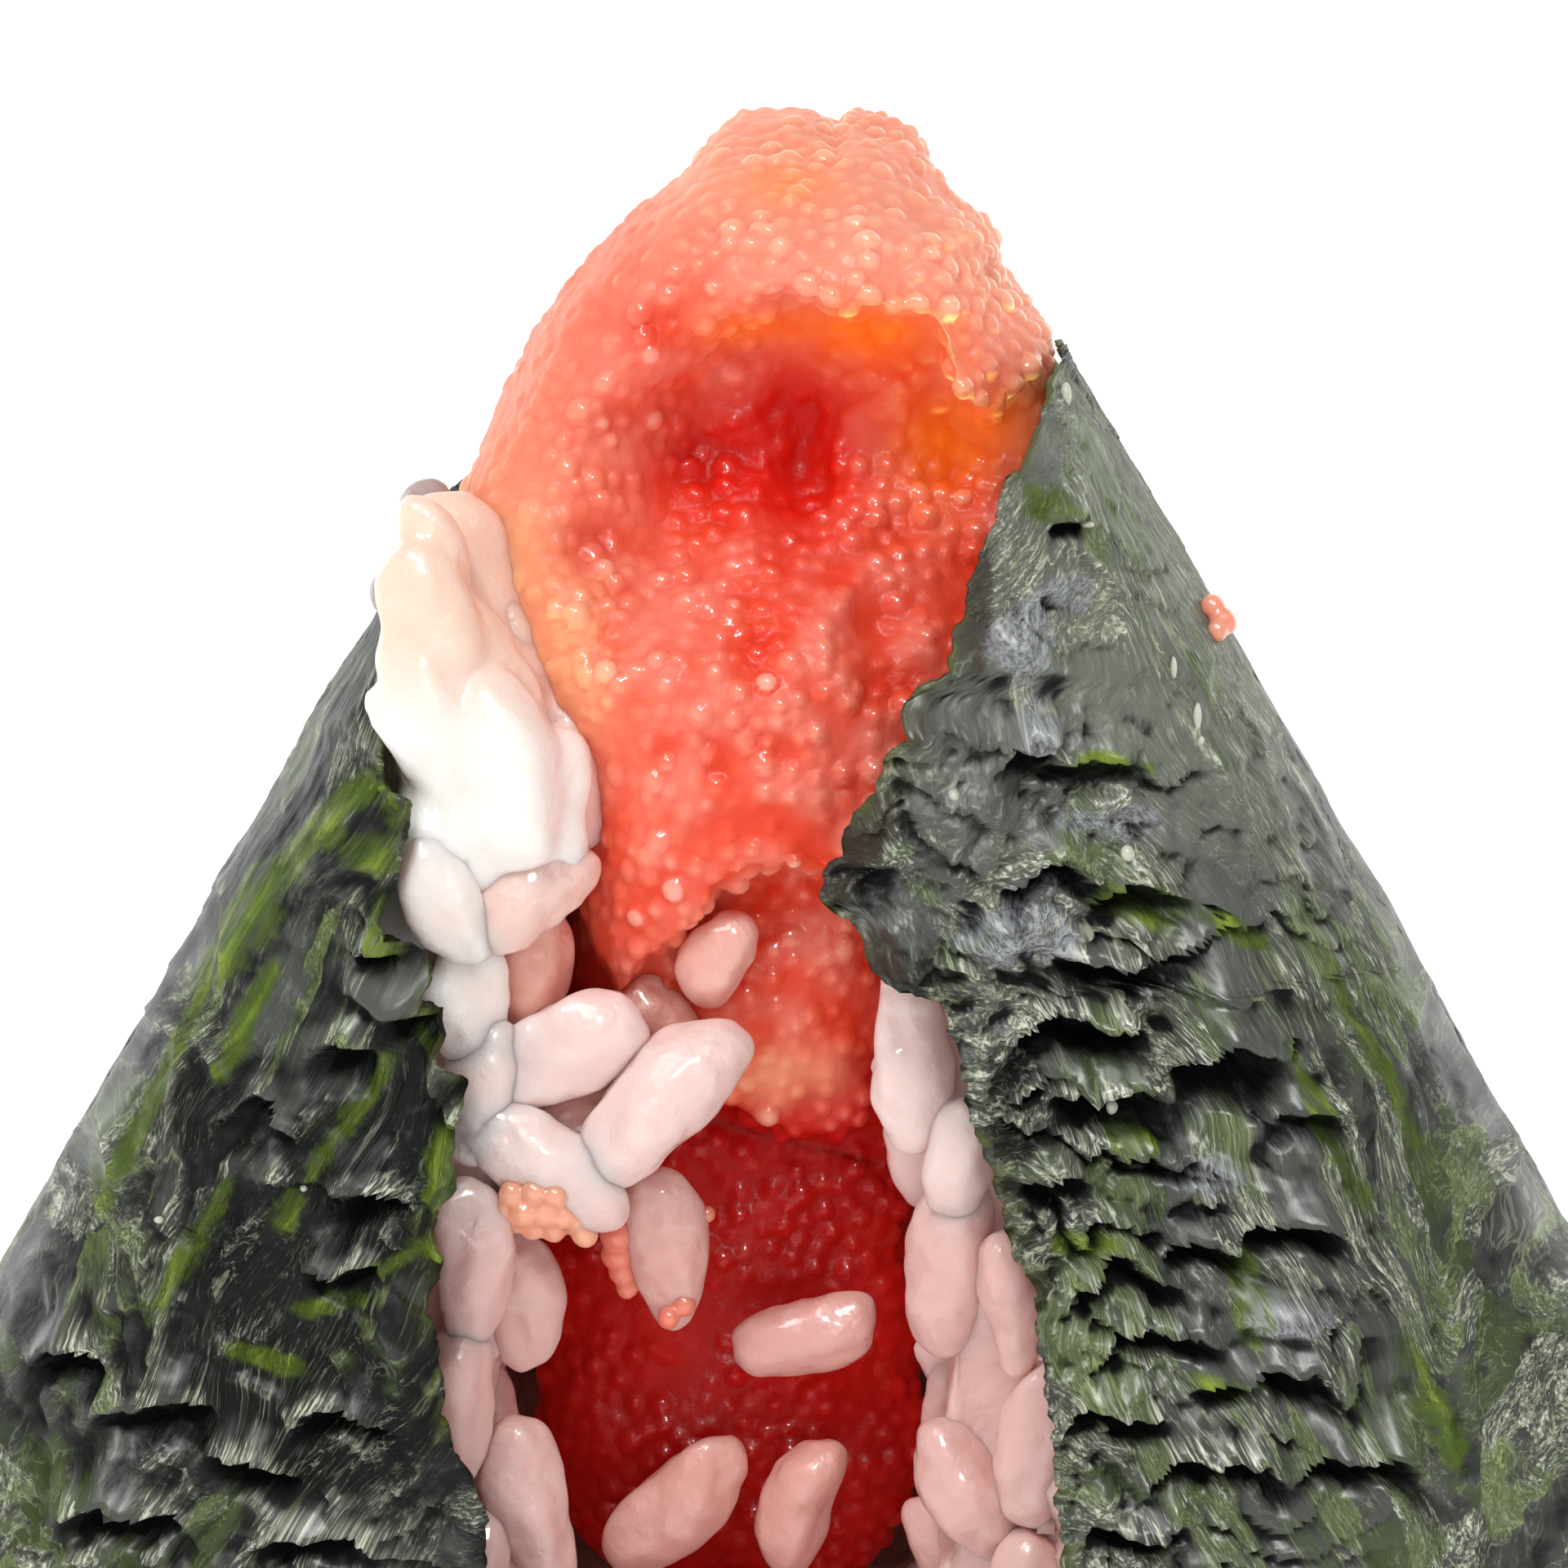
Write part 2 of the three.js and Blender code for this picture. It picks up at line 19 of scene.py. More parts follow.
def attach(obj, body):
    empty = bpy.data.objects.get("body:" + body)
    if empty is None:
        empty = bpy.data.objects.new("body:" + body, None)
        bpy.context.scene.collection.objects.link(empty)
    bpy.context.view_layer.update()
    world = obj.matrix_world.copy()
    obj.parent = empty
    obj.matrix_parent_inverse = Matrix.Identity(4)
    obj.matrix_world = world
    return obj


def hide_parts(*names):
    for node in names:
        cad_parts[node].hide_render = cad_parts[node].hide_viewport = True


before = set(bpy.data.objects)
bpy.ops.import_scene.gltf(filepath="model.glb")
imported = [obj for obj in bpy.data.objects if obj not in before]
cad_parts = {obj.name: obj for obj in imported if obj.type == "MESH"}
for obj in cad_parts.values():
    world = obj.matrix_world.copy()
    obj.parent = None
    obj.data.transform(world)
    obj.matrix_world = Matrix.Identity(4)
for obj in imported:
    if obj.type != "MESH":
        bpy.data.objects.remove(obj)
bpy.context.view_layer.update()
MM = 0.001

# %% [markdown]
# ## The camera
# The picture is a close-up taken almost level, from about a quarter of a metre. The camera stands in
# front of the open face and looks a little down. Its view is as wide as 60 mm at the open face, so the
# base of the rice ball is cut off, as it is in the photograph.

# %% Camera
VIEW_CENTRE = Vector((-0.5, -12.0, 43.6)) * MM
VIEW_WIDTH = 60.3 * MM
VIEW_DISTANCE = 0.26
VIEW_ELEVATION = math.radians(7)
LENS = 85.0


def make_camera():
    """A camera that sees VIEW_WIDTH at VIEW_DISTANCE."""
    data = bpy.data.cameras.new("camera")
    data.lens = LENS
    data.sensor_width = LENS * VIEW_WIDTH / VIEW_DISTANCE
    data.clip_start = 0.01
    camera = bpy.data.objects.new("camera", data)
    bpy.context.scene.collection.objects.link(camera)
    back = Vector((0, -math.cos(VIEW_ELEVATION), math.sin(VIEW_ELEVATION)))
    camera.location = VIEW_CENTRE + back * VIEW_DISTANCE
    camera.rotation_euler = (-back).to_track_quat("-Z", "Y").to_euler()
    bpy.context.scene.camera = camera
    return camera


camera = make_camera()
print("camera at", [round(v, 3) for v in camera.location])

# %% [markdown]
# ## Helpers for shapes
# Each piece starts as a simple form made by a bmesh operator: a grid, a sphere or a copy of a CAD node.
# Its vertices are then moved by a function of where they are. Numpy moves them all at once, which is much
# faster than a loop. The functions work in millimetres, and the mesh is scaled to metres at the end.

# %% Shape helpers
def new_piece(name, bm, smooth=True):
    """An object at the origin from a bmesh."""
    mesh = bpy.data.meshes.new(name)
    bm.to_mesh(mesh)
    bm.free()
    if smooth:
        mesh.polygons.foreach_set("use_smooth", [True] * len(mesh.polygons))
    piece = bpy.data.objects.new(name, mesh)
    bpy.context.scene.collection.objects.link(piece)
    return piece


def points_of(piece):
    """The vertices of a piece, one row each."""
    rows = np.empty(len(piece.data.vertices) * 3, np.float32)
    piece.data.vertices.foreach_get("co", rows)
    return rows.reshape(-1, 3).astype(float)


def set_points(piece, rows):
    """Moves the vertices of a piece."""
    piece.data.vertices.foreach_set("co", np.asarray(rows, np.float32).ravel())
    piece.data.update()


def normals_of(piece):
    """The normals of a piece's vertices, one row each."""
    rows = np.empty(len(piece.data.vertices) * 3, np.float32)
    piece.data.vertex_normals.foreach_get("vector", rows)
    return rows.reshape(-1, 3).astype(float)


def set_attributes(piece, **numbers):
    """Stores numbers on the vertices, which a material can read by their names."""
    for name, values in numbers.items():
        attribute = piece.data.attributes.new(name, "FLOAT", "POINT")
        spread = np.broadcast_to(np.asarray(values, np.float32), len(piece.data.vertices))
        attribute.data.foreach_set("value", np.ascontiguousarray(spread))


def apply_modifier(piece, kind, **settings):
    """Adds a modifier, bakes it into the mesh and takes it off again."""
    modifier = piece.modifiers.new(kind.title(), kind)
    for key, value in settings.items():
        setattr(modifier, key, value)
    graph = bpy.context.evaluated_depsgraph_get()
    mesh = bpy.data.meshes.new_from_object(piece.evaluated_get(graph))
    piece.modifiers.clear()
    old = piece.data
    piece.data = mesh
    bpy.data.meshes.remove(old)


def even_out(piece, voxel, rounds):
    """Gives a piece faces of one even size, and smooths it."""
    apply_modifier(piece, "REMESH", mode="VOXEL", voxel_size=voxel * MM, use_smooth_shade=True)
    apply_modifier(piece, "SMOOTH", factor=0.5, iterations=rounds)


def perlin(rows, pitch=1.0, seed=0.0):
    """Smooth noise from -1 to 1 at each row. Its hills are a pitch apart, which may differ by axis."""
    scaled = np.asarray(rows) / np.asarray(pitch) + seed
    return np.array([noise.noise(row) for row in scaled.tolist()])


def fractal(rows, pitch=1.0, octaves=4, seed=0.0):
    """Noise with finer and finer hills on it."""
    scaled = np.asarray(rows) / np.asarray(pitch) + seed
    return np.array([noise.fractal(row, 0.9, 2.1, octaves) for row in scaled.tolist()])


def smoothstep(value, low, high):
    """0 below low, 1 above high, and an even slope between them."""
    t = np.clip((np.asarray(value) - low) / (high - low), 0, 1)
    return t * t * (3 - 2 * t)


def along(points, key, blur=0.0):
    """The value of a chain of [key, value] points at each key, with its corners rounded by a blur."""
    keys, values = np.array(points, float).T
    if not blur:
        return np.interp(key, keys, values)
    sides = np.interp(np.subtract(key, blur), keys, values) + np.interp(np.add(key, blur), keys, values)
    return (sides + 2 * np.interp(key, keys, values)) / 4


def stack(*columns):
    """Rows of three coordinates from three columns, any of which may be one number."""
    return np.stack(np.broadcast_arrays(*columns), 1).astype(float)


def cell_gaps(rows):
    """How far each row is inside its cell of a Voronoi pattern, from 0 on the border."""
    distances = [noise.voronoi(row)[0] for row in rows.tolist()]
    return np.array([second - first for first, second, *_ in distances])


# %% [markdown]
# ## The form of the wrap
# The wrapped triangle is a stack of level sections. Each section is a rectangle with round corners, and
# its half-width follows the straight sides of the triangle. A place on the wrap is then two numbers: its
# height, and a turn that runs from 0 at the middle of the front, over the left side, to 1 at the back and
# 2 in front again. The same sizes made the CAD solids, so the new pieces fit them.

# %% The wrapped triangle
APEX_HEIGHT = 78.3
SIDE_LEAN = math.radians(30)
SIDE_SLOPE = math.tan(SIDE_LEAN)
CORNER_RADIUS = 12.0
DEPTH = 36.0
CROWN = 0.07
DEPTH_TAPER = 0.06
EDGE_RADIUS = 8.0
SECTION_RADIUS = 9.0
LEAST_RADIUS = 0.6
BASE_SEAM = 0.7


def section(z, inset):
    """Half-width, half-depth and corner radius of the level section at a height, drawn in by an inset."""
    drop = np.maximum(0, EDGE_RADIUS - z)
    depth = DEPTH / 2 / (1 + CROWN) - DEPTH_TAPER * np.maximum(0, z - EDGE_RADIUS)
    half_depth = depth - EDGE_RADIUS + np.sqrt(EDGE_RADIUS**2 - drop**2)
    centre = (APEX_HEIGHT - CORNER_RADIUS) * SIDE_SLOPE - CORNER_RADIUS / math.cos(SIDE_LEAN)
    rounded = centre + np.sqrt(np.maximum(0, CORNER_RADIUS**2 - (CORNER_RADIUS - z) ** 2))
    half_width = np.where(z < 1.5 * CORNER_RADIUS, rounded, (APEX_HEIGHT - z) * SIDE_SLOPE)
    radius = np.maximum(LEAST_RADIUS, np.minimum(SECTION_RADIUS, half_depth - 1) - inset)
    return half_width - inset, half_depth - inset, radius


def stretch_ends(half_width, half_depth, radius):
    """Where the straight and round stretches of half a section end, from the front middle to the back."""
    flat_x, flat_y = half_width - radius, half_depth - radius
    bend = math.pi / 2 * radius
    return np.cumsum([flat_x, bend, 2 * flat_y, bend, flat_x], axis=0)


def crown(x, half_width):
    """How much a section swells where x is, because its front and back are a little round."""
    return 1 + CROWN * np.maximum(0, 1 - (x / half_width) ** 2)


def section_point(half_width, half_depth, radius, turn):
    """A point of a section for each turn."""
    flat_x, flat_y = half_width - radius, half_depth - radius
    ends = stretch_ends(half_width, half_depth, radius)
    run = np.where(turn <= 1, turn, 2 - turn) * ends[4]
    near, far = (run - ends[0]) / radius, (run - ends[2]) / radius
    legs = [run < end for end in ends[:4]]
    x_legs = [run, flat_x + radius * np.sin(near), half_width + 0 * run, flat_x + radius * np.cos(far)]
    y_legs = [
        -half_depth + 0 * run, -flat_y - radius * np.cos(near), -flat_y + run - ends[1],
        flat_y + radius * np.sin(far),
    ]
    x = np.select(legs, x_legs, flat_x - run + ends[3])
    y = np.select(legs, y_legs, half_depth)
    return np.where(turn <= 1, -x, x), y * crown(x, half_width)


def wrap_point(turn, z, base_inset, depth):
    """Points of the wrap, at a depth under its outer face."""
    x, y = section_point(*section(z, base_inset + depth), turn)
    return stack(x, y, z + depth * np.maximum(0, 1 - z / EDGE_RADIUS))


# %% [markdown]
# ## The seaweed sheet: its outline
# Dried seaweed goes limp when it touches warm rice. It tears in ragged steps, its torn edges curl off the
# rice, and it shrinks into folds. The sheet starts as flat grids, and a function bends them round the
# triangle, from the left tear round the back to the right tear. The two front flaps are grids of their
# own, with small faces, because the camera looks at them. The back has larger ones.

# %% Outline of the sheet
# Torn edges: height, and distance from the front middle along the surface
LEFT_EDGE = [
    [0, 0.8], [4, 1.2], [9, 9.5], [14, 11.5], [16.2, 11.6], [19, 12.9], [23.4, 13.5], [24.7, 13.8],
    [25.5, 13.6], [26.5, 12.7], [27.1, 13.7], [27.9, 13.3], [29.2, 12.5], [31.4, 12.7], [31.9, 12],
    [33.6, 12.4], [34.1, 13], [35.1, 13.6], [36.7, 13.4], [37.3, 13.6], [38.1, 14.4], [39.5, 15.3],
    [41.1, 14.7], [42.6, 14.6], [43.7, 14.3], [44.2, 15.1], [45.8, 15.9], [47.8, 16.3], [50.3, 17.2],
    [51.5, 19], [52.5, 23],
]
RIGHT_EDGE = [
    [0, 0.8], [4, 1.2], [9, 8.5], [14, 10.1], [16.2, 9.9], [23, 9.4], [24.7, 9], [26.1, 8.1], [27.3, 8.1],
    [28.8, 7.5], [30.9, 6.6], [33.8, 5.9], [35, 5.8], [36.2, 5.4], [36.5, 3.8], [37.3, 2.7], [38.7, 2.2],
    [39.75, 1], [40.6, 1.3], [42.4, 1.8], [43.8, 2.8], [45.5, 3.6], [47.2, 3.9], [48.3, 5.5], [50, 5.9],
    [51.5, 6.2], [53.4, 7.1], [55.3, 8], [56.7, 9.5], [58.9, 11.4], [60.2, 14.5], [60.6, 18],
]
TOP_EDGE = [[0, 52.3], [0.15, 53.6], [0.3, 55.2], [0.5, 57.6], [0.75, 58.6], [0.9, 59.8], [1, 59.4]]
BASE_SHARE = 0.06
SHEET_THICKNESS = 0.28
# Coarse and fine waves: of the top edge, how deep and how many on the way round, and of the tears, how deep
# and how long
TOP_WAVES = [[0.8, 44], [0.3, 170]]
TEAR_WAVES = [[0.3, 1.1], [0.22, 0.4]]


def sheet_place(around, up):
    """Where each place of the flat sheet lies: its turn, its height, its base inset, its run from the front
    middle, which is negative on the left, and how far it is from a torn edge."""
    (deep, few), (shallow, many) = TOP_WAVES
    ends = smoothstep(np.minimum(around, 1 - around), 0.01, 0.06)
    nibbled = deep * perlin(stack(around * few, 4.7, 0)) * ends
    nibbled += shallow * perlin(stack(around * many, 1.3, 0))
    top = along(TOP_EDGE, around) + nibbled
    z = top * np.maximum(0, (up - BASE_SHARE) / (1 - BASE_SHARE))
    base_inset = np.maximum(0, 1 - up / BASE_SHARE) * (section(0, 0)[1] - BASE_SEAM)
    girth = stretch_ends(*section(z, 0))[4]

    def tear(seed):
        """The coarse and fine waves of a torn edge."""
        (deep, long), (shallow, short) = TEAR_WAVES
        coarse = deep * perlin(stack(z / long, seed, 2.5))
        fine = shallow * perlin(stack(z / short, seed, 0))
        return (coarse + fine) * smoothstep(z, 4, 10)

    left = (along(LEFT_EDGE, z) + tear(9.1)) / girth
    right = 2 - (along(RIGHT_EDGE, z) + tear(3.4)) / girth
    turn = left + (right - left) * around
    run = np.where(turn < 1, -turn, 2 - turn) * girth
    width = (right - left) * girth
    return turn, z, base_inset, run, np.minimum(around, 1 - around) * width


# %% [markdown]
# ## The seaweed sheet: its relief
# On the right flap the sheet has shrunk into folded ledges, with hollows under their lips, which the
# finish paints nearly black as painted shade. On the left it lies in larger facets, with sharp creases
# between them. Both are made of the same two parts. The large hollows, rolls and curls are listed one by
# one, because the eye knows them, and noise fills the rest. A sawtooth of the height gives the small
# ledges, and a Voronoi pattern gives the creases. The relief only moves the surface, so its size can be
# read in millimetres.

# %% Relief of the sheet
# Hollows under a lip: run from the front middle, height of the lip, half-width, how tall, how deep
HOLLOWS = [
    [10.8, 54, 0.9, 1, 0.9], [8.9, 45.4, 1, 1.6, 1.2], [11.3, 45, 1.6, 1.2, 0.8],
    [9.9, 41.2, 1.9, 1.5, 1.5], [13, 40.2, 1.8, 1.5, 1.1], [11.6, 37.4, 1.9, 1.4, 1.4],
    [10.9, 35.4, 2.4, 1.5, 1.6], [12, 32.9, 2.3, 1.9, 1.6], [16.4, 34.2, 1.9, 3, 1.9],
    [9.9, 29.3, 1.2, 1.6, 1.2], [12.6, 25.6, 1.9, 1.3, 1.4], [18.9, 27.7, 1.9, 1.6, 1.5],
    [15.6, 26.6, 1.7, 1, 1.1], [13.8, 30, 1.6, 1, 1], [19.5, 31.6, 1.4, 1.4, 0.8],
    [14, 23.4, 2, 1.2, 1.2], [18, 22, 2.6, 1.4, 1.3], [12.2, 20.4, 1.8, 1.2, 1.3],
    [16.2, 18.4, 2.4, 1.4, 1.3], [21.5, 18.6, 2.2, 1.6, 1.3], [13, 15.8, 1.8, 1.2, 1.2],
    [-17.4, 34, 1.2, 2, 1], [-16.3, 28.6, 1.5, 1.8, 1.1], [-17.3, 25.8, 1.4, 1.3, 1],
    [-15.8, 37.9, 0.9, 1, 1], [-14.4, 35.3, 1.1, 1.2, 1], [-21, 31.5, 1.6, 1.3, 0.6],
    [-24.5, 20.6, 2, 1.8, 1.2], [-28, 22.4, 1.6, 1.8, 1.1], [-21, 18.6, 1.8, 1.6, 1.2],
    [-26, 16.6, 2, 1.8, 1.2], [-17.5, 20.4, 1.8, 1.4, 1.1], [-18.5, 15.8, 2, 1.6, 1.1],
]
# Rolls, lumps and curls: run, height, reach along and up, how far out
ROLLS = [
    [-14.9, 36.6, 1.9, 0.85, 1.25], [-12.9, 33.5, 0.9, 0.9, 1.2], [-12.3, 31.9, 0.8, 0.7, 1.1],
    [-13.2, 32.6, 0.7, 0.6, 0.5], [-12.9, 29.7, 0.9, 1.7, 0.6], [-12.9, 26.6, 0.8, 0.5, 0.8],
    [-14.9, 44.1, 0.8, 1, 0.6], [-15, 38.7, 0.9, 1, 0.7], [-18.6, 29.3, 3, 0.7, 0.5],
    [-22.6, 38.4, 1.5, 2, 0.35], [-17.6, 41.9, 2, 1.2, 0.35], [6.1, 43.6, 2, 3.2, 0.95],
    [4.4, 46.2, 0.9, 1, 0.7], [3, 42.4, 1.1, 1.5, 0.35], [3.8, 38, 1.3, 1.5, 0.8],
    [8.2, 38.6, 1.7, 1.2, 0.7], [8.8, 46.4, 1.2, 1.2, 0.6], [8.6, 49.2, 1.4, 1, 0.5],
    [18.3, 24, 1.6, 0.7, 0.7], [7.4, 33, 1.2, 2.6, 0.3], [14.8, 28.6, 2.4, 0.8, 0.6],
]
LEDGE_PITCH = 2.7
CREASE_PITCH = 5.2


def pattern_rows(run, points):
    """Where the noise of the sheet is read: along the surface in front, straight through space behind."""
    x, y, z = points.T
    behind = smoothstep(np.abs(run), 20, 33)
    return stack(run + (x - run) * behind, z, y * behind)


def hollows(run, z):
    """The listed hollows: how far the sheet drops into them, and how far their lips stand out."""
    ragged = 0.75 * perlin(stack(run / 1.5, z / 6, 3.3)) + 0.16 * perlin(stack(run / 0.5, z / 5, 8.1))
    drop, lip = 0 * run, 0 * run
    for at, height, half_width, tall, deep in HOLLOWS:
        across = (run - at) / half_width
        bowed = height + ragged - 0.35 * half_width * across**2
        below = (bowed - z) / tall
        inside = np.exp(-(across**4)) * deep
        drop = np.maximum(drop, inside * smoothstep(below, -0.12, 0.16) * np.clip(1 - below, 0, 1) ** 0.8)
        lip = np.maximum(lip, inside * smoothstep(below, 0.06, -0.16) * np.exp(-((below / 0.75) ** 2)))
    return drop, lip


def rolls(run, z):
    """The listed rolls and curls: how far they stand out."""
    out = 0 * run
    for at, height, along_reach, up_reach, far in ROLLS:
        reach = ((run - at) / along_reach) ** 2 + ((z - height) / up_reach) ** 2
        out = out + far * np.exp(-(reach**1.5))
    return out


def ledges(rows):
    """Small folded ledges, from 0 in a hollow to 1 at a lip."""
    warp = 1.7 * perlin(rows, (5.5, 5.5, 4.6), 3.1) + 0.8 * perlin(rows, (2.0, 1.7, 2.0), 8.2)
    phase = rows[:, 1] / LEDGE_PITCH + warp + 0.06 * rows[:, 0]
    climb = phase - np.floor(phase)
    return smoothstep(climb, 1.0, 0.88) * (1 - 0.94 * climb) ** 0.85


def creases(rows):
    """Thin sharp creases between facets, from 0 inside a facet to 1 on a crease."""
    bent_run = rows[:, 0] + 1.6 * perlin(rows, 3.4, 2.2) + 0.5 * rows[:, 1]
    bent_z = rows[:, 1] + 1.6 * perlin(rows, 3.4, 6.4)
    gap = cell_gaps(stack(bent_run / 1.6, bent_z, rows[:, 2]) / CREASE_PITCH)
    return np.exp(-gap * 7)


def sheet_relief(run, z, from_edge, rows):
    """How far the sheet stands out from its even form, and how deep in a hollow each place is."""
    right = smoothstep(run, 0, 1) * smoothstep(-run, -25, -17)
    left = smoothstep(-run, 0, 1) * smoothstep(run, -34, -28)
    back = 1 - np.maximum(right, left)
    firm = smoothstep(z, 2, 11)
    inner = smoothstep(from_edge, 0.3, 2.2)
    rise = ledges(rows)
    broken = smoothstep(fractal(rows, (5.5, 3.0, 5.5), 2, 5.7), -0.35, 0.3)
    right_share = right * (1 - 0.65 * smoothstep(z, 40, 52))
    left_share = 0.3 * left * smoothstep(-z, -34, -20)
    ledge = (right_share + left_share) * broken * inner
    crease = creases(rows) * (0.25 + 0.75 * smoothstep(fractal(rows, 4, 2, 1.1), -0.3, 0.3))
    facet = left + 0.45 * right * smoothstep(run, 14, 22) + 0.5 * back
    quiet = 1 - 0.75 * np.maximum(smoothstep(np.abs(run), 13, 17), smoothstep(z, 44, 50))
    drop, lip = hollows(run, z)
    slow = fractal(rows, (7, 9, 7), 3, 1.7)
    pucker = np.abs(fractal(rows, (2.4, 1.5, 2.4), 4, 4.4))
    frill = np.abs(fractal(rows, (1.2, 0.7, 1.2), 3, 6.1))
    lift = 0.35 * slow - 0.34 * pucker * (0.5 + right * quiet) + 0.05
    lift += (0.06 - 0.34 * frill) * (0.3 + 0.7 * right) * quiet
    lift += 1.05 * ledge * (0.4 + 0.6 * quiet) * (rise - 0.6) + 0.4 * facet * (crease - 0.12)
    lift = lift * (1 - 0.6 * np.clip(drop, 0, 1)) - 0.85 * drop + 0.7 * lip + rolls(run, z)
    return firm * lift, np.clip(drop * 1.3, 0, 1)


# %% [markdown]
# ## The seaweed sheet: build it
# Each grid is bent and lifted. It also gets numbers for the finish: how ridged or hollow the sheet is,
# which the finish turns into painted highlight on ridges and painted shade in hollows, how close a torn
# edge is, and where it is smooth, shaded, fresh green, brown or silver with painted highlights. Its
# fibres follow a flow, which is stored too. A Solidify modifier gives the sheet its thickness.

# %% Patches of the sheet
# Run from the front middle, height, reach along, reach up, lean
FRESH_PATCHES = [
    [-22.4, 38.2, 2, 2.2, 0.35], [-20.6, 40.6, 2.4, 1, 0.5], [-18, 42.7, 1.7, 0.9, 0.6],
    [-15.1, 43.7, 0.7, 1.2, 0], [-16, 41.4, 1.3, 0.8, 0], [-15.2, 38.6, 0.8, 1.1, 0],
    [-13.1, 29.8, 0.8, 1.6, 0], [-19.5, 27.7, 0.5, 0.9, 0.3], [-21.6, 34.6, 0.6, 2.2, 0.4],
    [-26, 31, 0.7, 3.4, 0.4], [-13.2, 26.6, 1.2, 0.4, 0], [-18, 24.2, 1.5, 0.35, 0.2],
    [-14, 34.9, 0.5, 0.8, 0], [-16.8, 31.6, 0.5, 1.6, 0.6], [-23.2, 26.4, 0.5, 1.8, 0.5],
    [-20.4, 22, 1.6, 0.4, -0.3], [-15.2, 26, 1.1, 0.3, 0.4], [-24.8, 34, 0.5, 2.4, 0.5],
    [10.2, 54.3, 1.5, 0.7, -0.1], [11.6, 44.7, 1.5, 0.5, 0], [13.2, 39.5, 1.9, 0.8, -0.2],
    [16.8, 38.4, 1.5, 0.5, -0.5], [17, 25, 0.7, 1.9, 0], [20.4, 30.4, 0.5, 2.8, -0.5],
    [11, 26.5, 1.2, 0.5, 0], [22.8, 33, 0.5, 2.6, -0.5], [16.4, 21.2, 1.4, 0.5, 0],
    [24.5, 20, 0.7, 2.6, -0.4], [12.8, 30.6, 1, 0.4, 0],
]
BROWN_PATCHES = [
    [2.2, 42, 1.3, 2, 0.3], [6.6, 51.2, 0.8, 3, 0], [3, 38, 0.9, 0.9, 0], [4, 46.8, 0.5, 0.9, 0],
]
# Painted highlights: silver patches where the lumps and ledges catch the light.
SILVER_HIGHLIGHTS = [
    [8.3, 38.5, 2.2, 1.3, 0], [8.9, 46.2, 0.9, 1.1, 0], [8.5, 49.4, 1.4, 1.3, 0],
    [18.5, 23.9, 1.6, 0.6, 0], [15.6, 29.2, 1.6, 0.7, 0], [12.2, 42.6, 1.8, 0.6, 0],
    [10.4, 51.2, 1.2, 0.7, 0], [9.6, 40.2, 1.6, 0.5, 0],
]
# Smooth patches without fibres, whose grey colour is in part a painted reflection of a wet glaze
CALM_PATCHES = [
    [6, 44.4, 2.2, 3.4, 0], [-15, 36.6, 2, 0.9, 0], [-22.6, 38.4, 1.5, 1.9, 0.35],
    [-20.4, 35.6, 1.4, 2.2, 0.3], [9.6, 56.8, 2.2, 1.6, 0], [12.4, 46.5, 2.6, 2.6, -0.3],
    [16, 42, 2.2, 3, -0.3], [3.6, 38.8, 1.8, 2.4, 0],
]
# Nearly black patches
SHADE_PATCHES = [
    [-13.6, 32.4, 1.8, 2.6, 0], [-16.5, 28, 2.6, 4.4, 0], [-19.5, 24.5, 4, 3.4, 0],
    [-13.6, 24.5, 1.2, 3.4, 0], [-18.6, 20, 6, 3, 0], [8.2, 31.6, 1.2, 3.4, 0], [2.6, 41.2, 1.2, 1.6, 0],
    [4, 37.4, 1.4, 1.2, 0], [9.4, 26.4, 1, 2.4, 0], [-23, 31.5, 1.6, 1.6, 0],
]


# %% Build the sheet
HOLLOW_REACH = 4
FLAP_SHARE = 0.2
FLAP_CROWDING = 0.4
BACK_OVERLAP = 0.004
# Torn edges curl off the rice, and what stands out sags
CURL_HEIGHT = 0.55
CURL_REACH = 1.6
SAG = 0.6


def patches(spots, run, z):
    """How much of a patch each place is, from 0 to 1, with ragged borders."""
    ragged = 0.5 * fractal(stack(run / 1.2, z / 0.9, 2.9), 1.0, 3)
    inside = 0 * run
    for at, height, along_reach, up_reach, lean in spots:
        across, up = run - at, z - height
        reach = ((across - lean * up) / along_reach) ** 2 + ((up - lean * across) / up_reach) ** 2
        inside = np.maximum(inside, smoothstep(-np.sqrt(reach) + ragged, -1.2, -0.75))
    return inside


def flow(run, lift, rows):
    """Coordinates of the fibres: along them, across them, and through the back."""
    fall = 1.7 * np.clip(np.abs(run) - 13, 0, 12)
    bend = 2.6 * perlin(rows, (8, 6, 8), 9.2) + 1.1 * perlin(rows, 3.4, 5.5)
    swirl = 1.2 * perlin(rows, 4, 7.7)
    return stack(rows[:, 0] + swirl, rows[:, 1] + fall + bend + 0.5 * lift, rows[:, 2])


def blurred(grid, reach):
    """A grid of numbers, each averaged with its neighbours up to a reach away."""
    width = 2 * reach + 1
    for axis in (0, 1):
        size = grid.shape[axis]
        padded = np.pad(grid, [(reach, reach) if side == axis else (0, 0) for side in (0, 1)], mode="edge")
        grid = sum(padded.take(range(start, start + size), axis) for start in range(width)) / width
    return grid


def store_sheet_numbers(piece, run, z, from_edge, drop, standing):
    """Gives a part of the sheet the numbers that its finish reads."""
    set_attributes(
        piece,
        ridge=np.clip(0.4 + 1.5 * standing, 0, 1),
        # Painted shade: hollows and places lower than their neighbours are painted nearly black.
        dark=np.clip(drop + smoothstep(-standing, 0.08, 0.36), 0, 1),
        calm=patches(CALM_PATCHES, run, z),
        shade=patches(SHADE_PATCHES, run, z),
        rim=np.exp(-from_edge / 0.4),
        fresh=patches(FRESH_PATCHES, run, z),
        brown=patches(BROWN_PATCHES, run, z),
        silver=patches(SILVER_HIGHLIGHTS, run, z),
        rough=smoothstep(run, 0, 1) * smoothstep(-run, -26, -15),
    )


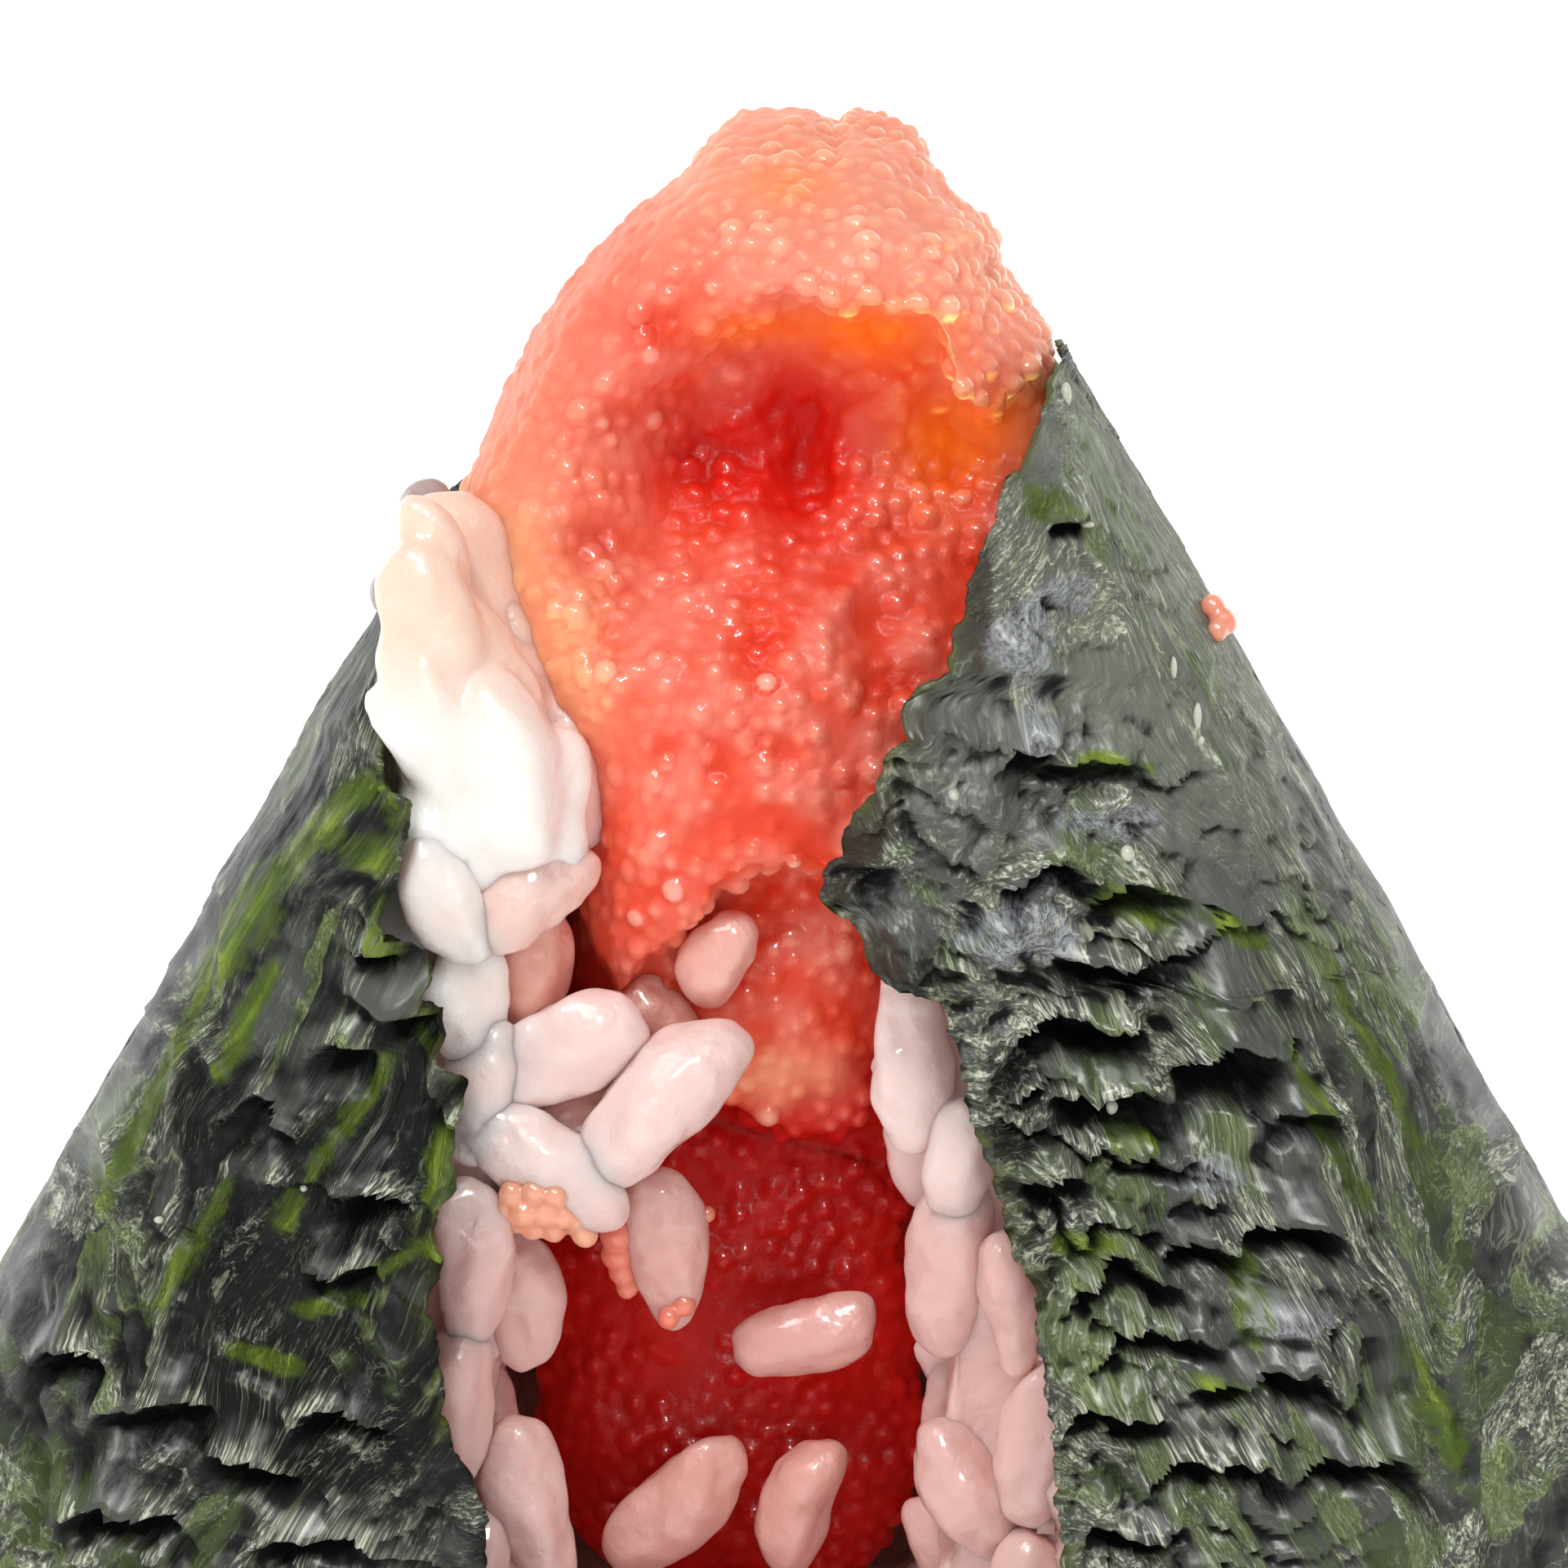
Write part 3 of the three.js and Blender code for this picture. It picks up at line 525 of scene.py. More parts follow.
def make_flap(name, columns, tiers, first, last, crowding):
    """A part of the sheet between two shares of the way round. Crowding gathers columns at its start."""
    bm = bmesh.new()
    bmesh.ops.create_grid(bm, x_segments=columns, y_segments=tiers, size=0.5)
    if last > first:
        bmesh.ops.reverse_faces(bm, faces=bm.faces)
    piece = new_piece(name, bm)
    share, up = points_of(piece)[:, 0] + 0.5, points_of(piece)[:, 1] + 0.5
    around = first + (last - first) * ((1 - crowding) * share + crowding * share**2)
    turn, z, base_inset, run, from_edge = sheet_place(around, up)
    rows = pattern_rows(run, wrap_point(turn, z, base_inset, 0))
    lift, drop = sheet_relief(run, z, from_edge, rows)
    free = smoothstep(z, 8, 14)
    curl = CURL_HEIGHT * np.exp(-from_edge / CURL_REACH) * free * (1 - 0.75 * smoothstep(z, 50, 54))
    points = wrap_point(turn, z, base_inset, -(lift + curl))
    points[:, 2] -= SAG * np.maximum(0, lift) * free
    set_points(piece, points * MM)
    standing = lift - blurred(lift.reshape(tiers + 1, columns + 1), HOLLOW_REACH).ravel()
    store_sheet_numbers(piece, run, z, from_edge, drop, standing)
    fibres = piece.data.attributes.new("flow", "FLOAT_VECTOR", "POINT")
    fibres.data.foreach_set("vector", flow(run, lift, rows).astype(np.float32).ravel())
    thickness = piece.modifiers.new("Thickness", "SOLIDIFY")
    thickness.thickness = SHEET_THICKNESS * MM
    thickness.offset = -1
    print(name + ":", len(piece.data.polygons), "faces before its thickness")
    return piece


sheet_parts = [
    make_flap("seaweed_left", 136, 270, 0, FLAP_SHARE, FLAP_CROWDING),
    make_flap("seaweed_right", 146, 300, 1, 1 - FLAP_SHARE, FLAP_CROWDING),
    make_flap("seaweed_back", 130, 150, FLAP_SHARE - BACK_OVERLAP, 1 - FLAP_SHARE + BACK_OVERLAP, 0),
]


# %% [markdown]
# ## Materials as expressions
# A material is a graph of nodes. Its maths reads best as plain Python, so a small class wraps a socket
# and lets + - and * work on it. Every other node comes from one method, which takes the node's type, its
# settings and its sockets. Patterns use Object coordinates in millimetres, so their sizes can be read off
# a ruler.

# %% Material helpers
class Wire:
    """The output of a node. Arithmetic on it adds Math nodes."""

    def __init__(self, paint, socket):
        self.paint = paint
        self.socket = socket

    def math(self, operation, *values):
        """A Math node with these values."""
        sockets = dict(enumerate(values))
        return self.paint.node("ShaderNodeMath", {"operation": operation}, sockets)

    def __add__(self, other):
        return self.math("ADD", self, other)

    def __radd__(self, other):
        return self.math("ADD", other, self)

    def __sub__(self, other):
        return self.math("SUBTRACT", self, other)

    def __rsub__(self, other):
        return self.math("SUBTRACT", other, self)

    def __mul__(self, other):
        return self.math("MULTIPLY", self, other)

    def __rmul__(self, other):
        return self.math("MULTIPLY", other, self)


class Paint:
    """A material with one Principled shader, whose sockets are given by name."""

    def __init__(self, name, **constants):
        self.material = bpy.data.materials.new(name)
        self.material.use_nodes = True
        self.tree = self.material.node_tree
        self.shader = self.tree.nodes["Principled BSDF"]
        for socket, value in constants.items():
            self.feed(socket.replace("_", " "), value)

    def node(self, kind, settings=None, sockets=None, out=0):
        """Adds a node: its settings first, then the values or links of its sockets."""
        made = self.tree.nodes.new(kind)
        for key, value in (settings or {}).items():
            setattr(made, key, value)
        for key, value in (sockets or {}).items():
            self.connect(value, made.inputs[key])
        return Wire(self, made.outputs[out])

    def connect(self, value, socket):
        """Links a wire to a socket, or sets the socket's value."""
        if isinstance(value, Wire):
            self.tree.links.new(value.socket, socket)
        elif isinstance(value, tuple) and socket.type == "RGBA":
            socket.default_value = (*value, 1)
        else:
            socket.default_value = value

    def feed(self, name, value):
        """Gives a socket of the Principled shader its value or its link."""
        self.connect(value, self.shader.inputs[name])

    def place(self, stretch=(1, 1, 1)):
        """Object coordinates in millimetres, divided by a stretch."""
        raw = self.node("ShaderNodeTexCoord", out="Object")
        scale = tuple(1 / MM / s for s in stretch)
        return self.node("ShaderNodeVectorMath", {"operation": "MULTIPLY"}, {0: raw, 1: scale})

    def axis(self, index):
        """Object coordinates in millimetres along one axis."""
        return self.node("ShaderNodeSeparateXYZ", {}, {0: self.place()}, index)

    def noise(self, pitch, detail=3.0, stretch=(1, 1, 1), rough=0.55, warp=0.0, where=None):
        """Noise from 0 to 1, with hills about one pitch apart, on the object or where it is told."""
        vector = self.place(stretch)
        if where:
            shrink = tuple(1 / s for s in stretch)
            vector = self.node("ShaderNodeVectorMath", {"operation": "MULTIPLY"}, {0: where, 1: shrink})
        sockets = {
            "Vector": vector, "Scale": 1 / pitch, "Detail": detail, "Roughness": rough, "Distortion": warp,
        }
        return self.node("ShaderNodeTexNoise", {}, sockets, "Fac")

    def attribute(self, name):
        """A number stored on the vertices."""
        return self.node("ShaderNodeAttribute", {"attribute_name": name}, {}, "Fac")

    def stored(self, *names):
        """Numbers stored on the vertices, by their names."""
        return SimpleNamespace(**{name: self.attribute(name) for name in names})

    def vector_attribute(self, name):
        """Coordinates stored on the vertices."""
        return self.node("ShaderNodeAttribute", {"attribute_name": name}, {}, "Vector")

    def cells(self, pitch, where, feature, out):
        """Cells about a pitch wide: how far a place is from their edges, or a random colour for each."""
        sockets = {"Vector": where, "Scale": 1 / pitch}
        return self.node("ShaderNodeTexVoronoi", {"feature": feature}, sockets, out)

    def shaken(self, where, pitch, reach):
        """Coordinates moved about by noise."""
        sockets = {"Vector": where, "Scale": 1 / pitch, "Detail": 3.0}
        shake = self.node("ShaderNodeTexNoise", {}, sockets, "Color")
        sockets = {0: shake, 1: (reach, reach, reach), 2: where}
        return self.node("ShaderNodeVectorMath", {"operation": "MULTIPLY_ADD"}, sockets)

    def fade(self, value, low, high):
        """0 where a value is at low, 1 where it is at high, smooth between them."""
        sockets = {"Value": value, "From Min": low, "From Max": high}
        return self.node("ShaderNodeMapRange", {"interpolation_type": "SMOOTHSTEP"}, sockets)

    def mix(self, share, first, second):
        """A colour between two colours."""
        return self.node("ShaderNodeMix", {"data_type": "RGBA"}, {0: share, 6: first, 7: second}, 2)

    def layers(self, colour, *coats):
        """A colour with coats over it, each a share that it covers and its own colour, for rgb."""
        for share, coat in coats:
            colour = self.mix(share, colour, rgb(*coat))
        return colour

    def bump(self, *layers):
        """Feeds the Normal socket with bumps: pairs of height in millimetres and pattern."""
        wire = None
        for height, pattern in layers:
            sockets = {"Height": pattern, "Distance": height * MM, "Strength": 1.0}
            if wire:
                sockets["Normal"] = wire
            wire = self.node("ShaderNodeBump", {}, sockets)
        self.feed("Normal", wire)


def rgb(red, green, blue):
    """A colour from 0 to 255, as a picture editor shows it, in the linear values that a shader needs."""
    def linear(value):
        """One channel without the curve of a screen."""
        value /= 255
        return value / 12.92 if value <= 0.04045 else ((value + 0.055) / 1.055) ** 2.4

    return linear(red), linear(green), linear(blue)


# %% [markdown]
# ## The finish of the seaweed
# Dried seaweed is nearly black, and green where it is thin or where light comes through a ridge. It is
# made of flat fibres pressed together, which give it fine streaks. It is damp here, so it shines: smooth
# places mirror the bright room, and rough ones scatter it as grey. Noise that is stretched along the flow
# gives the fibres, and the stored numbers say where the greens and the silver go. Light and shade are
# painted into the colour too: a painted highlight on ridges, painted shade in hollows, a painted sheen on
# the right flap, and silver patches that are painted highlights.

# %% Patterns of the seaweed
FROND_PITCH = 3.2
FROND_TURN = 2.4
WISP_WIDTH = 0.0009


def sheet_patterns(paint):
    """The patterns of the sheet and the numbers stored on it, by name."""
    sheet = paint.stored("ridge", "rough", "calm", "shade", "dark", "fresh", "brown", "silver", "rim")
    fibres = paint.vector_attribute("flow")
    # Each frond has its own number, its own way for its fibres, and a thin pale edge
    fronds = paint.shaken(fibres, 2.4, 2.6)
    number = paint.cells(FROND_PITCH, fronds, "F1", "Color")
    sheet.kind = paint.node("ShaderNodeSeparateColor", {}, {0: number}, 0)
    sheet.turn = paint.node("ShaderNodeSeparateColor", {}, {0: number}, 1)
    sheet.border = paint.cells(FROND_PITCH, fronds, "DISTANCE_TO_EDGE", "Distance")
    sockets = {"Vector": fibres, "Angle": sheet.turn * FROND_TURN - FROND_TURN / 2}
    turned = paint.node("ShaderNodeVectorRotate", {"rotation_type": "Z_AXIS"}, sockets)
    sheet.broad = paint.noise(7.0, 3.0)
    sheet.mottle = paint.noise(1.4, 4.0, (1.8, 1, 1.8), where=fibres)
    sheet.streak = paint.noise(0.3, 3.0, (4.5, 1, 4.5), 0.66, 0.5, turned)
    sheet.strand = paint.noise(0.8, 3.0, (2.6, 1, 2.6), 0.6, 1.0, turned)
    sheet.grit = paint.noise(0.14, 2.0, (1.6, 1, 1.6), 0.6, 0.0, turned)
    sheet.to_right = paint.fade(paint.axis(0), 0, 14)
    sheet.to_back = paint.fade(paint.axis(1), -13, 2)
    sheet.height = paint.axis(2)
    return sheet


def add_fibres(paint, sheet):
    """Adds where the sheet is felted, where single wisps lie, and how light it is. Its tone carries painted
    highlight on ridges, painted shade in hollows and shade patches, and a painted sheen on the right flap.
    """
    felt = paint.fade(sheet.kind + 0.24 * sheet.rough + 0.4 * (sheet.mottle - 0.5), 0.46, 0.6)
    sheet.felt = felt * (1 - 0.85 * sheet.calm) * (1 - 0.6 * sheet.to_back)
    off_line = sheet.strand - 0.5
    wisp = 1 - paint.fade(off_line * off_line, 0.0, WISP_WIDTH)
    wisp = wisp * paint.fade(sheet.mottle + sheet.streak * 0.3, 0.5, 0.75)
    sheet.wisp = wisp * (0.35 + 0.65 * sheet.felt) * (1 - 0.8 * sheet.calm)
    # Painted highlight on ridges and painted shade in hollows and shade patches, over the sheet's own mottle
    # and fronds.
    tone = sheet.ridge * 0.9 + sheet.mottle * 0.5 + sheet.broad * 0.3 + sheet.rough * 0.12
    tone = tone + (sheet.kind - 0.5) * 0.2 - sheet.dark * 0.5 - sheet.shade * 0.32
    # Painted sheen: the right flap is painted lighter, more so high up.
    tone = tone + sheet.rough * (0.02 + 0.2 * paint.fade(sheet.height, 40, 50))
    sheet.tone = tone + sheet.to_right * 0.17 - 0.04
    sheet.open_up = paint.fade(sheet.tone, 0.52, 1.0)


# %% Seaweed finish
def seaweed_colour(paint, sheet):
    """A painted sheen on the right flap, felt and wisps from darkest to lightest, then the greens, the odd
    patches with their painted silver highlights, and the painted shade of the hollows.
    """
    sheen_film = paint.fade(sheet.height, 34, 48) * 0.55
    low_felt = paint.fade(sheet.grit * 0.4 + sheet.streak * 0.6, 0.45, 0.6)
    high_felt = paint.fade(sheet.grit * 0.5 + sheet.streak * 0.5 + sheet.ridge * 0.1, 0.58, 0.69)
    flecks = paint.fade(sheet.streak * 0.6 + sheet.grit * 0.4, 0.58, 0.68) * (1 - sheet.dark)
    green = paint.fade(sheet.mottle * 0.8 + sheet.broad * 0.9 + sheet.turn * 0.3, 1.0, 1.2)
    green = green * (1 - sheet.dark) * (1 - sheet.shade) * (1 - sheet.calm) * (1 - 0.7 * sheet.to_back)
    hem = 1 - paint.fade(sheet.border, 0.008, 0.03)
    hem = hem * paint.fade(sheet.mottle + sheet.streak * 0.6, 0.75, 1.0)
    fresh = sheet.fresh * paint.fade(sheet.mottle + sheet.streak * 0.5 + sheet.strand * 0.2, 0.56, 0.86)
    lit = paint.fade(sheet.mottle * 1.2 + sheet.ridge * 0.4 + sheet.wisp * 0.2, 0.75, 1.15)
    # Painted highlights on the silver patches, broken up by the grit of the fibres.
    frost_highlight = sheet.silver * paint.fade(sheet.grit * 0.7 + sheet.streak * 0.3, 0.36, 0.6)
    rim = sheet.rim * paint.fade(sheet.mottle + sheet.broad, 0.85, 1.2)
    return paint.layers(
        paint.mix(paint.fade(sheet.tone, 0.52, 1.05), rgb(10, 12, 10), rgb(72, 74, 69)),
        # In part a painted reflection: the smooth patches are grey.
        (sheet.calm * (1 - sheet.shade) * 0.6, (84, 86, 82)),
        # Painted sheen: the right flap grows lighter and greyer higher up.
        (sheet.to_right * sheet.open_up * sheen_film, (128, 132, 120)),
        # Felt, flecks and wisps show most where the tone is open, so they follow the painted highlight of
        # the ridges.
        (sheet.felt * sheet.open_up * low_felt, (146, 152, 130)),
        (sheet.felt * sheet.open_up * high_felt, (216, 220, 200)),
        (flecks * (0.35 * sheet.shade + 0.2 * sheet.open_up), (150, 158, 132)),
        (sheet.wisp * (0.85 * sheet.open_up + 0.4 * sheet.shade), (182, 187, 160)),
        (green * 0.65, (62, 78, 28)),
        (green * (sheet.wisp * 0.8 + sheet.felt * sheet.grit * 0.5), (134, 152, 92)),
        (hem * (1 - sheet.calm) * paint.fade(sheet.tone, 0.5, 0.8) * 0.7, (142, 150, 112)),
        (fresh * 0.9, (70, 90, 14)),
        (fresh * lit, (128, 150, 44)),
        (sheet.brown * 0.85, (58, 47, 40)),
        # Painted highlights: the silver patches.
        (frost_highlight * 0.85, (158, 160, 168)),
        (rim * 0.8, (80, 86, 26)),
        # Painted shade: the hollows are nearly black.
        (sheet.dark * 0.94, (4, 5, 4)),
    )


def seaweed_paint():
    """The finish of the sheet."""
    paint = Paint("damp_seaweed", Specular_IOR_Level=0.12, Coat_IOR=1.45, Coat_Roughness=0.3)
    sheet = sheet_patterns(paint)
    add_fibres(paint, sheet)
    paint.feed("Base Color", seaweed_colour(paint, sheet))
    paint.feed("Roughness", 0.45 + 0.3 * sheet.felt + 0.15 * sheet.dark)
    shine = paint.fade(sheet.mottle + sheet.broad * 0.4 + sheet.ridge * 0.3, 0.65, 1.1)
    clear = (1 - sheet.dark) * (1 - 0.7 * sheet.shade) * (1 - 0.5 * sheet.calm)
    paint.feed("Coat Weight", clear * (0.14 + 0.42 * shine + 0.2 * sheet.wisp))
    threads = sheet.streak * sheet.felt
    specks = sheet.grit * sheet.felt
    paint.bump((0.28, sheet.mottle), (0.4, sheet.kind), (0.16, threads), (0.12, sheet.wisp), (0.04, specks))
    return paint.material


SEAWEED_FINISH = seaweed_paint()
for part in sheet_parts:
    part.data.materials.append(SEAWEED_FINISH)
    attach(part, "root")
    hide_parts("seaweed_sheet")

# %% [markdown]
# ## The roe: its form
# The filling is a pair of soft sacs of pollock roe, pressed into the rice and bitten at the top. Its form
# is a sphere drawn out between a left side, a right side, a back and a face. The face has three layers:
# the one deep in the opening, a fold, and the belly with its drooping lip. The bite is a soft dent in the
# tip.

# %% Form of the roe
ROE_FOOT = 8
ROE_TOP = 69.4
ROE_LEFT = [
    [8, -3], [9.5, -7], [12, -9.6], [15, -10.6], [24, -11.6], [31, -10.2], [36, -9.6], [42, -8.7],
    [44, -8.7], [47.5, -11.2], [51, -12.9], [53.6, -13.6], [55.3, -12.9], [56.5, -12.4], [58.4, -11.6],
    [59.6, -10.9], [60.9, -10.2], [62.1, -9.3], [63.4, -8.3], [64.6, -7.05], [65.3, -6.4], [65.9, -5.4],
    [66.5, -4.8], [67.2, -4.1], [67.8, -3.7], [68.4, -3.3], [69, -2.7], [69.4, -1.7],
]
ROE_RIGHT = [
    [8, 0.5], [9.5, 3], [12, 4.6], [15, 5.5], [24, 5.3], [31, 4.9], [36, 5.2], [40, 6.2], [48, 8.6],
    [52, 9.7], [56, 10.5], [60.2, 10.2], [60.9, 9.9], [61.5, 9.3], [62.1, 9.1], [62.7, 8.2], [64, 8.1],
    [64.6, 7.8], [65.3, 6.9], [65.9, 5.8], [66.5, 5.5], [67.2, 5.2], [67.8, 4.8], [68.4, 4.4], [69, 3.8],
    [69.4, 3],
]
ROE_MIDDLE = [[8, 0], [50, 0], [60, 1], [70, 1.4]]
ROE_BACK = [[8, 2], [12, 6.5], [40, 7.5], [56, 9.6], [62, 8.8], [67, 6], [68.8, 3.4], [69.4, 1.8]]
ROE_DEEP = [[8, -1], [10, -5], [16, -6.4], [26, -5.8], [36, -6]]
ROE_FOLD = [[28, -7.5], [32, -9.4], [36, -10], [42, -8.6]]
ROE_FRONT = [
    [35, -11.4], [38, -12.6], [43, -13.4], [47, -13.2], [50, -12], [53, -10.6], [60, -10], [63, -10],
    [65.5, -8.6], [67.5, -6], [68.6, -3], [69.4, 1.2],
]
STEP_WIDTH = 0.5
LIP_LINE = [
    [-9, 39], [-8.2, 37.4], [-7, 34.6], [-5.9, 36.4], [-4.6, 37.2], [-3, 39.4], [-1, 40.4], [3, 39.6],
]
FOLD_LINE = [[-7, 31.8], [-2.8, 29.9], [0, 28.8], [3, 29.4], [6, 28.6]]
ROE_SQUARENESS = 0.6
# Dents and swellings of the face: across, height, half-width, half-height, how far in
FACE_DENTS = [
    [0.1, 55.8, 1.2, 3.2, 1.4], [-3.4, 55.8, 1.9, 1.1, 0.9], [-8, 52.6, 1, 0.9, 0.7],
    [3.6, 58.2, 1.3, 1.5, -1], [-6.4, 58.4, 1.8, 1.8, -0.5], [-1.6, 52.4, 1.5, 1.2, -0.6],
    [5.8, 55, 1.5, 2.4, 0.4], [1.9, 54, 1.2, 1.2, -0.5], [-3, 64.8, 4.5, 2.2, -0.8],
    [0.2, 66.6, 1.3, 0.7, 0.6], [-9, 50, 2.2, 4.5, -0.7], [-2.5, 47.8, 4, 2.6, -0.8],
    [3.4, 49.4, 1.4, 3, 0.7], [1.5, 51.2, 3, 1.5, -0.6], [-5.6, 50.6, 1.6, 2.6, 0.6],
    [-2.2, 62.4, 1.4, 0.8, -0.5],
]
# The bitten edge over the dent, from left to right: across, height
BROW_LINE = [
    [-9, 58.6], [-6, 60.4], [-3, 61.8], [0.3, 62.6], [1.1, 62], [2, 61.5], [2.8, 62.1], [3.8, 61.4],
    [4.8, 61.6], [5.5, 61.2], [5.7, 59.4], [6, 58.7], [7.1, 57.9], [7.7, 57.4], [8.6, 58.4], [9.8, 59.6],
]
BROW_DEPTH = 1.3
SCOOP_DEPTH = 3.5


def roe_face(x, z):
    """How far forward the roe comes at each place of its face."""
    lip = smoothstep(z - along(LIP_LINE, x), -STEP_WIDTH, STEP_WIDTH)
    fold = smoothstep(z - along(FOLD_LINE, x), -STEP_WIDTH, STEP_WIDTH)
    under_brow = along(BROW_LINE, x, 0.2) - z
    brow = smoothstep(-under_brow, -0.3, 0.3) * smoothstep(-z, -68, -62) * smoothstep(x, -3, 1.5)
    scoop = smoothstep(under_brow, -0.2, 3.4 - 2.4 * smoothstep(x, -4, 1)) * smoothstep(z, 48, 57)
    scoop = scoop * smoothstep(x, -10, -3.5) * smoothstep(-x, -10.5, -6)
    deep = along(ROE_DEEP, z, 1) * (1 - fold) + along(ROE_FOLD, z, 1) * fold
    face = deep * (1 - lip) + along(ROE_FRONT, z, 1) * lip - BROW_DEPTH * brow + SCOOP_DEPTH * scoop
    for across, height, half_width, half_height, depth in FACE_DENTS:
        face = face + depth * np.exp(-(((x - across) / half_width) ** 2) - ((z - height) / half_height) ** 2)
    return face


def sac_points(sphere):
    """The points of a unit sphere, drawn out to the form of the roe."""
    flat = np.maximum(np.hypot(sphere[:, 0], sphere[:, 1]), 1e-9)
    across, ahead = sphere[:, 0] / flat, -sphere[:, 1] / flat
    height = ROE_TOP + (ROE_FOOT - ROE_TOP) * np.arccos(np.clip(sphere[:, 2], -1, 1)) / math.pi
    left, right = along(ROE_LEFT, height, 0.6), along(ROE_RIGHT, height, 0.6)
    side = np.sign(across) * np.abs(across) ** ROE_SQUARENESS
    x = left + (right - left) * (side + 1) / 2
    end = np.where(ahead > 0, roe_face(x, height), along(ROE_BACK, height, 1))
    middle = along(ROE_MIDDLE, height)
    flatness = ROE_SQUARENESS - 0.25 * (ahead > 0) * (across < 0) * smoothstep(height, 38, 44)
    y = middle + (end - middle) * np.abs(ahead) ** flatness
    return stack(x, y, height)


def lumped(rows):
    """Slow lumps of the sac under its skin."""
    out = rows.copy()
    for axis, seed in enumerate((3.1, 7.3)):
        out[:, axis] += 0.3 * perlin(rows, 3.2, seed)
    return out


# %% [markdown]
# ## The roe: its eggs
# Pollock roe is thousands of eggs, each under a millimetre wide, stuck together by their skins. Placing
# every egg as a sphere would cost millions of faces, most of them hidden. A height for each vertex does
# the same work: the form is remeshed to an even skin, eggs are picked on it at a steady spacing, and each
# vertex rises to the dome of its nearest egg. Where the roe is mashed, the domes are made shallow.

# %% Eggs on a skin
EGG_SPACING = 0.76
EGG_RADIUS = 0.48
SKIN_VOXEL = 0.183
LUMP_HEIGHT = 0.55
# The skin is split in two pieces under the fold, and each is cut off where the rice hides it
UNDER_FOLD = (0, 0, 28.4), (0.28, 0, 1)
BEHIND_FRONT = (0, -3, 29), (0, 1, -0.46)
BEHIND_DEEP = (0, -3.5, 0), (0, 1, 0)
# How sharply a dome stands out of its neighbours, and the levels of the paste between them and of the skin
DOME_SHARPNESS = 20
PASTE_LEVEL = 0.14
SKIN_LEVEL = 0.36
# Notches of the bitten tip: across, half-width, how deep
TIP_NOTCHES = [[3.1, 0.9, 0.2], [1.5, 0.6, 0.55]]
# The row of clear beads along the bitten edge, the last of which glint
BEADS = {
    "from": 0.4, "to": 9.6, "spacing": 0.95, "above": 0.25, "radius": 0.6, "proud": 0.12, "off_line": 0.3,
    "apart": 0.6, "glinting": 11,
}


def spaced(rows, spacing, seed):
    """Picks of the rows that are at least a spacing apart, in a random order that repeats."""
    order = np.random.default_rng(seed).permutation(len(rows))
    taken = {}
    picks = []
    cells = np.floor(rows / spacing).astype(int)
    near = [(i, j, k) for i in (-1, 0, 1) for j in (-1, 0, 1) for k in (-1, 0, 1)]
    for index in order.tolist():
        cell = tuple(cells[index])
        place = rows[index]
        close = (taken.get((cell[0] + i, cell[1] + j, cell[2] + k)) for i, j, k in near)
        if any(other is not None and np.sum((other - place) ** 2) < spacing**2 for other in close):
            continue
        taken[cell] = place
        picks.append(index)
    return np.array(picks)


def nearest(rows, centres, count):
    """The numbers and distances of the nearest centres to each row."""
    tree = KDTree(len(centres))
    for index, centre in enumerate(centres.tolist()):
        tree.insert(centre, index)
    tree.balance()
    found = [tree.find_n(row, count) for row in rows.tolist()]
    numbers = np.array([[hit[1] for hit in hits] for hits in found])
    distances = np.array([[hit[2] for hit in hits] for hits in found])
    return numbers, distances


def brow_beads(rows):
    """The numbers of the rows nearest to each bead of the bitten edge."""
    places = []
    x = BEADS["from"]
    while x < BEADS["to"]:
        places.append([x, along(BROW_LINE, x, 0.2) + BEADS["above"]])
        steep = np.gradient(along(BROW_LINE, [x, x + 0.3], 0.2))[0] / 0.3
        x += BEADS["spacing"] / math.hypot(1, min(3.0, abs(steep)))
    front = np.where(rows[:, 1] < -4)[0]
    gaps = np.linalg.norm(rows[front][:, None, [0, 2]] - np.array(places), axis=2)
    near = np.where(gaps.min(0) < BEADS["off_line"])[0]
    return front[gaps.argmin(0)[near]]


def egg_domes(rows, normals, clearness, seed):
    """Moves each row out to the dome of its nearest egg. Returns the rows, how high each rose, which egg
    each is on, and where the eggs are."""
    draw = np.random.default_rng(seed + 1)
    picks = spaced(rows, EGG_SPACING, seed)
    beads = brow_beads(rows)
    if len(beads):
        gaps = np.linalg.norm(rows[picks][:, None] - rows[beads], axis=2).min(1)
        picks = np.concatenate([picks[gaps > BEADS["apart"]], beads])
    centres = rows[picks] + draw.normal(0, 0.06, (len(picks), 3))
    radii = EGG_RADIUS * (0.82 + 0.42 * draw.random(len(picks)) ** 2)
    sunk = draw.normal(0, 0.09, len(picks)) - 0.02
    if len(beads):
        radii[-len(beads):] = BEADS["radius"]
        sunk[-len(beads):] = BEADS["proud"]
    numbers, distances = nearest(rows, centres, 5)
    clear = clearness[:, None]
    domes = np.sqrt(np.maximum(0.0004, radii[numbers] ** 2 - distances**2)) * (0.5 + 0.5 * clear)
    domes = domes + sunk[numbers] * (0.4 + 0.6 * clear)
    paste = np.exp(DOME_SHARPNESS * PASTE_LEVEL)
    height = np.log(np.exp(DOME_SHARPNESS * domes).sum(1) + paste) / DOME_SHARPNESS - SKIN_LEVEL
    owner = numbers[np.arange(len(rows)), domes.argmax(1)]
    return rows + normals * height[:, None], height, owner, centres


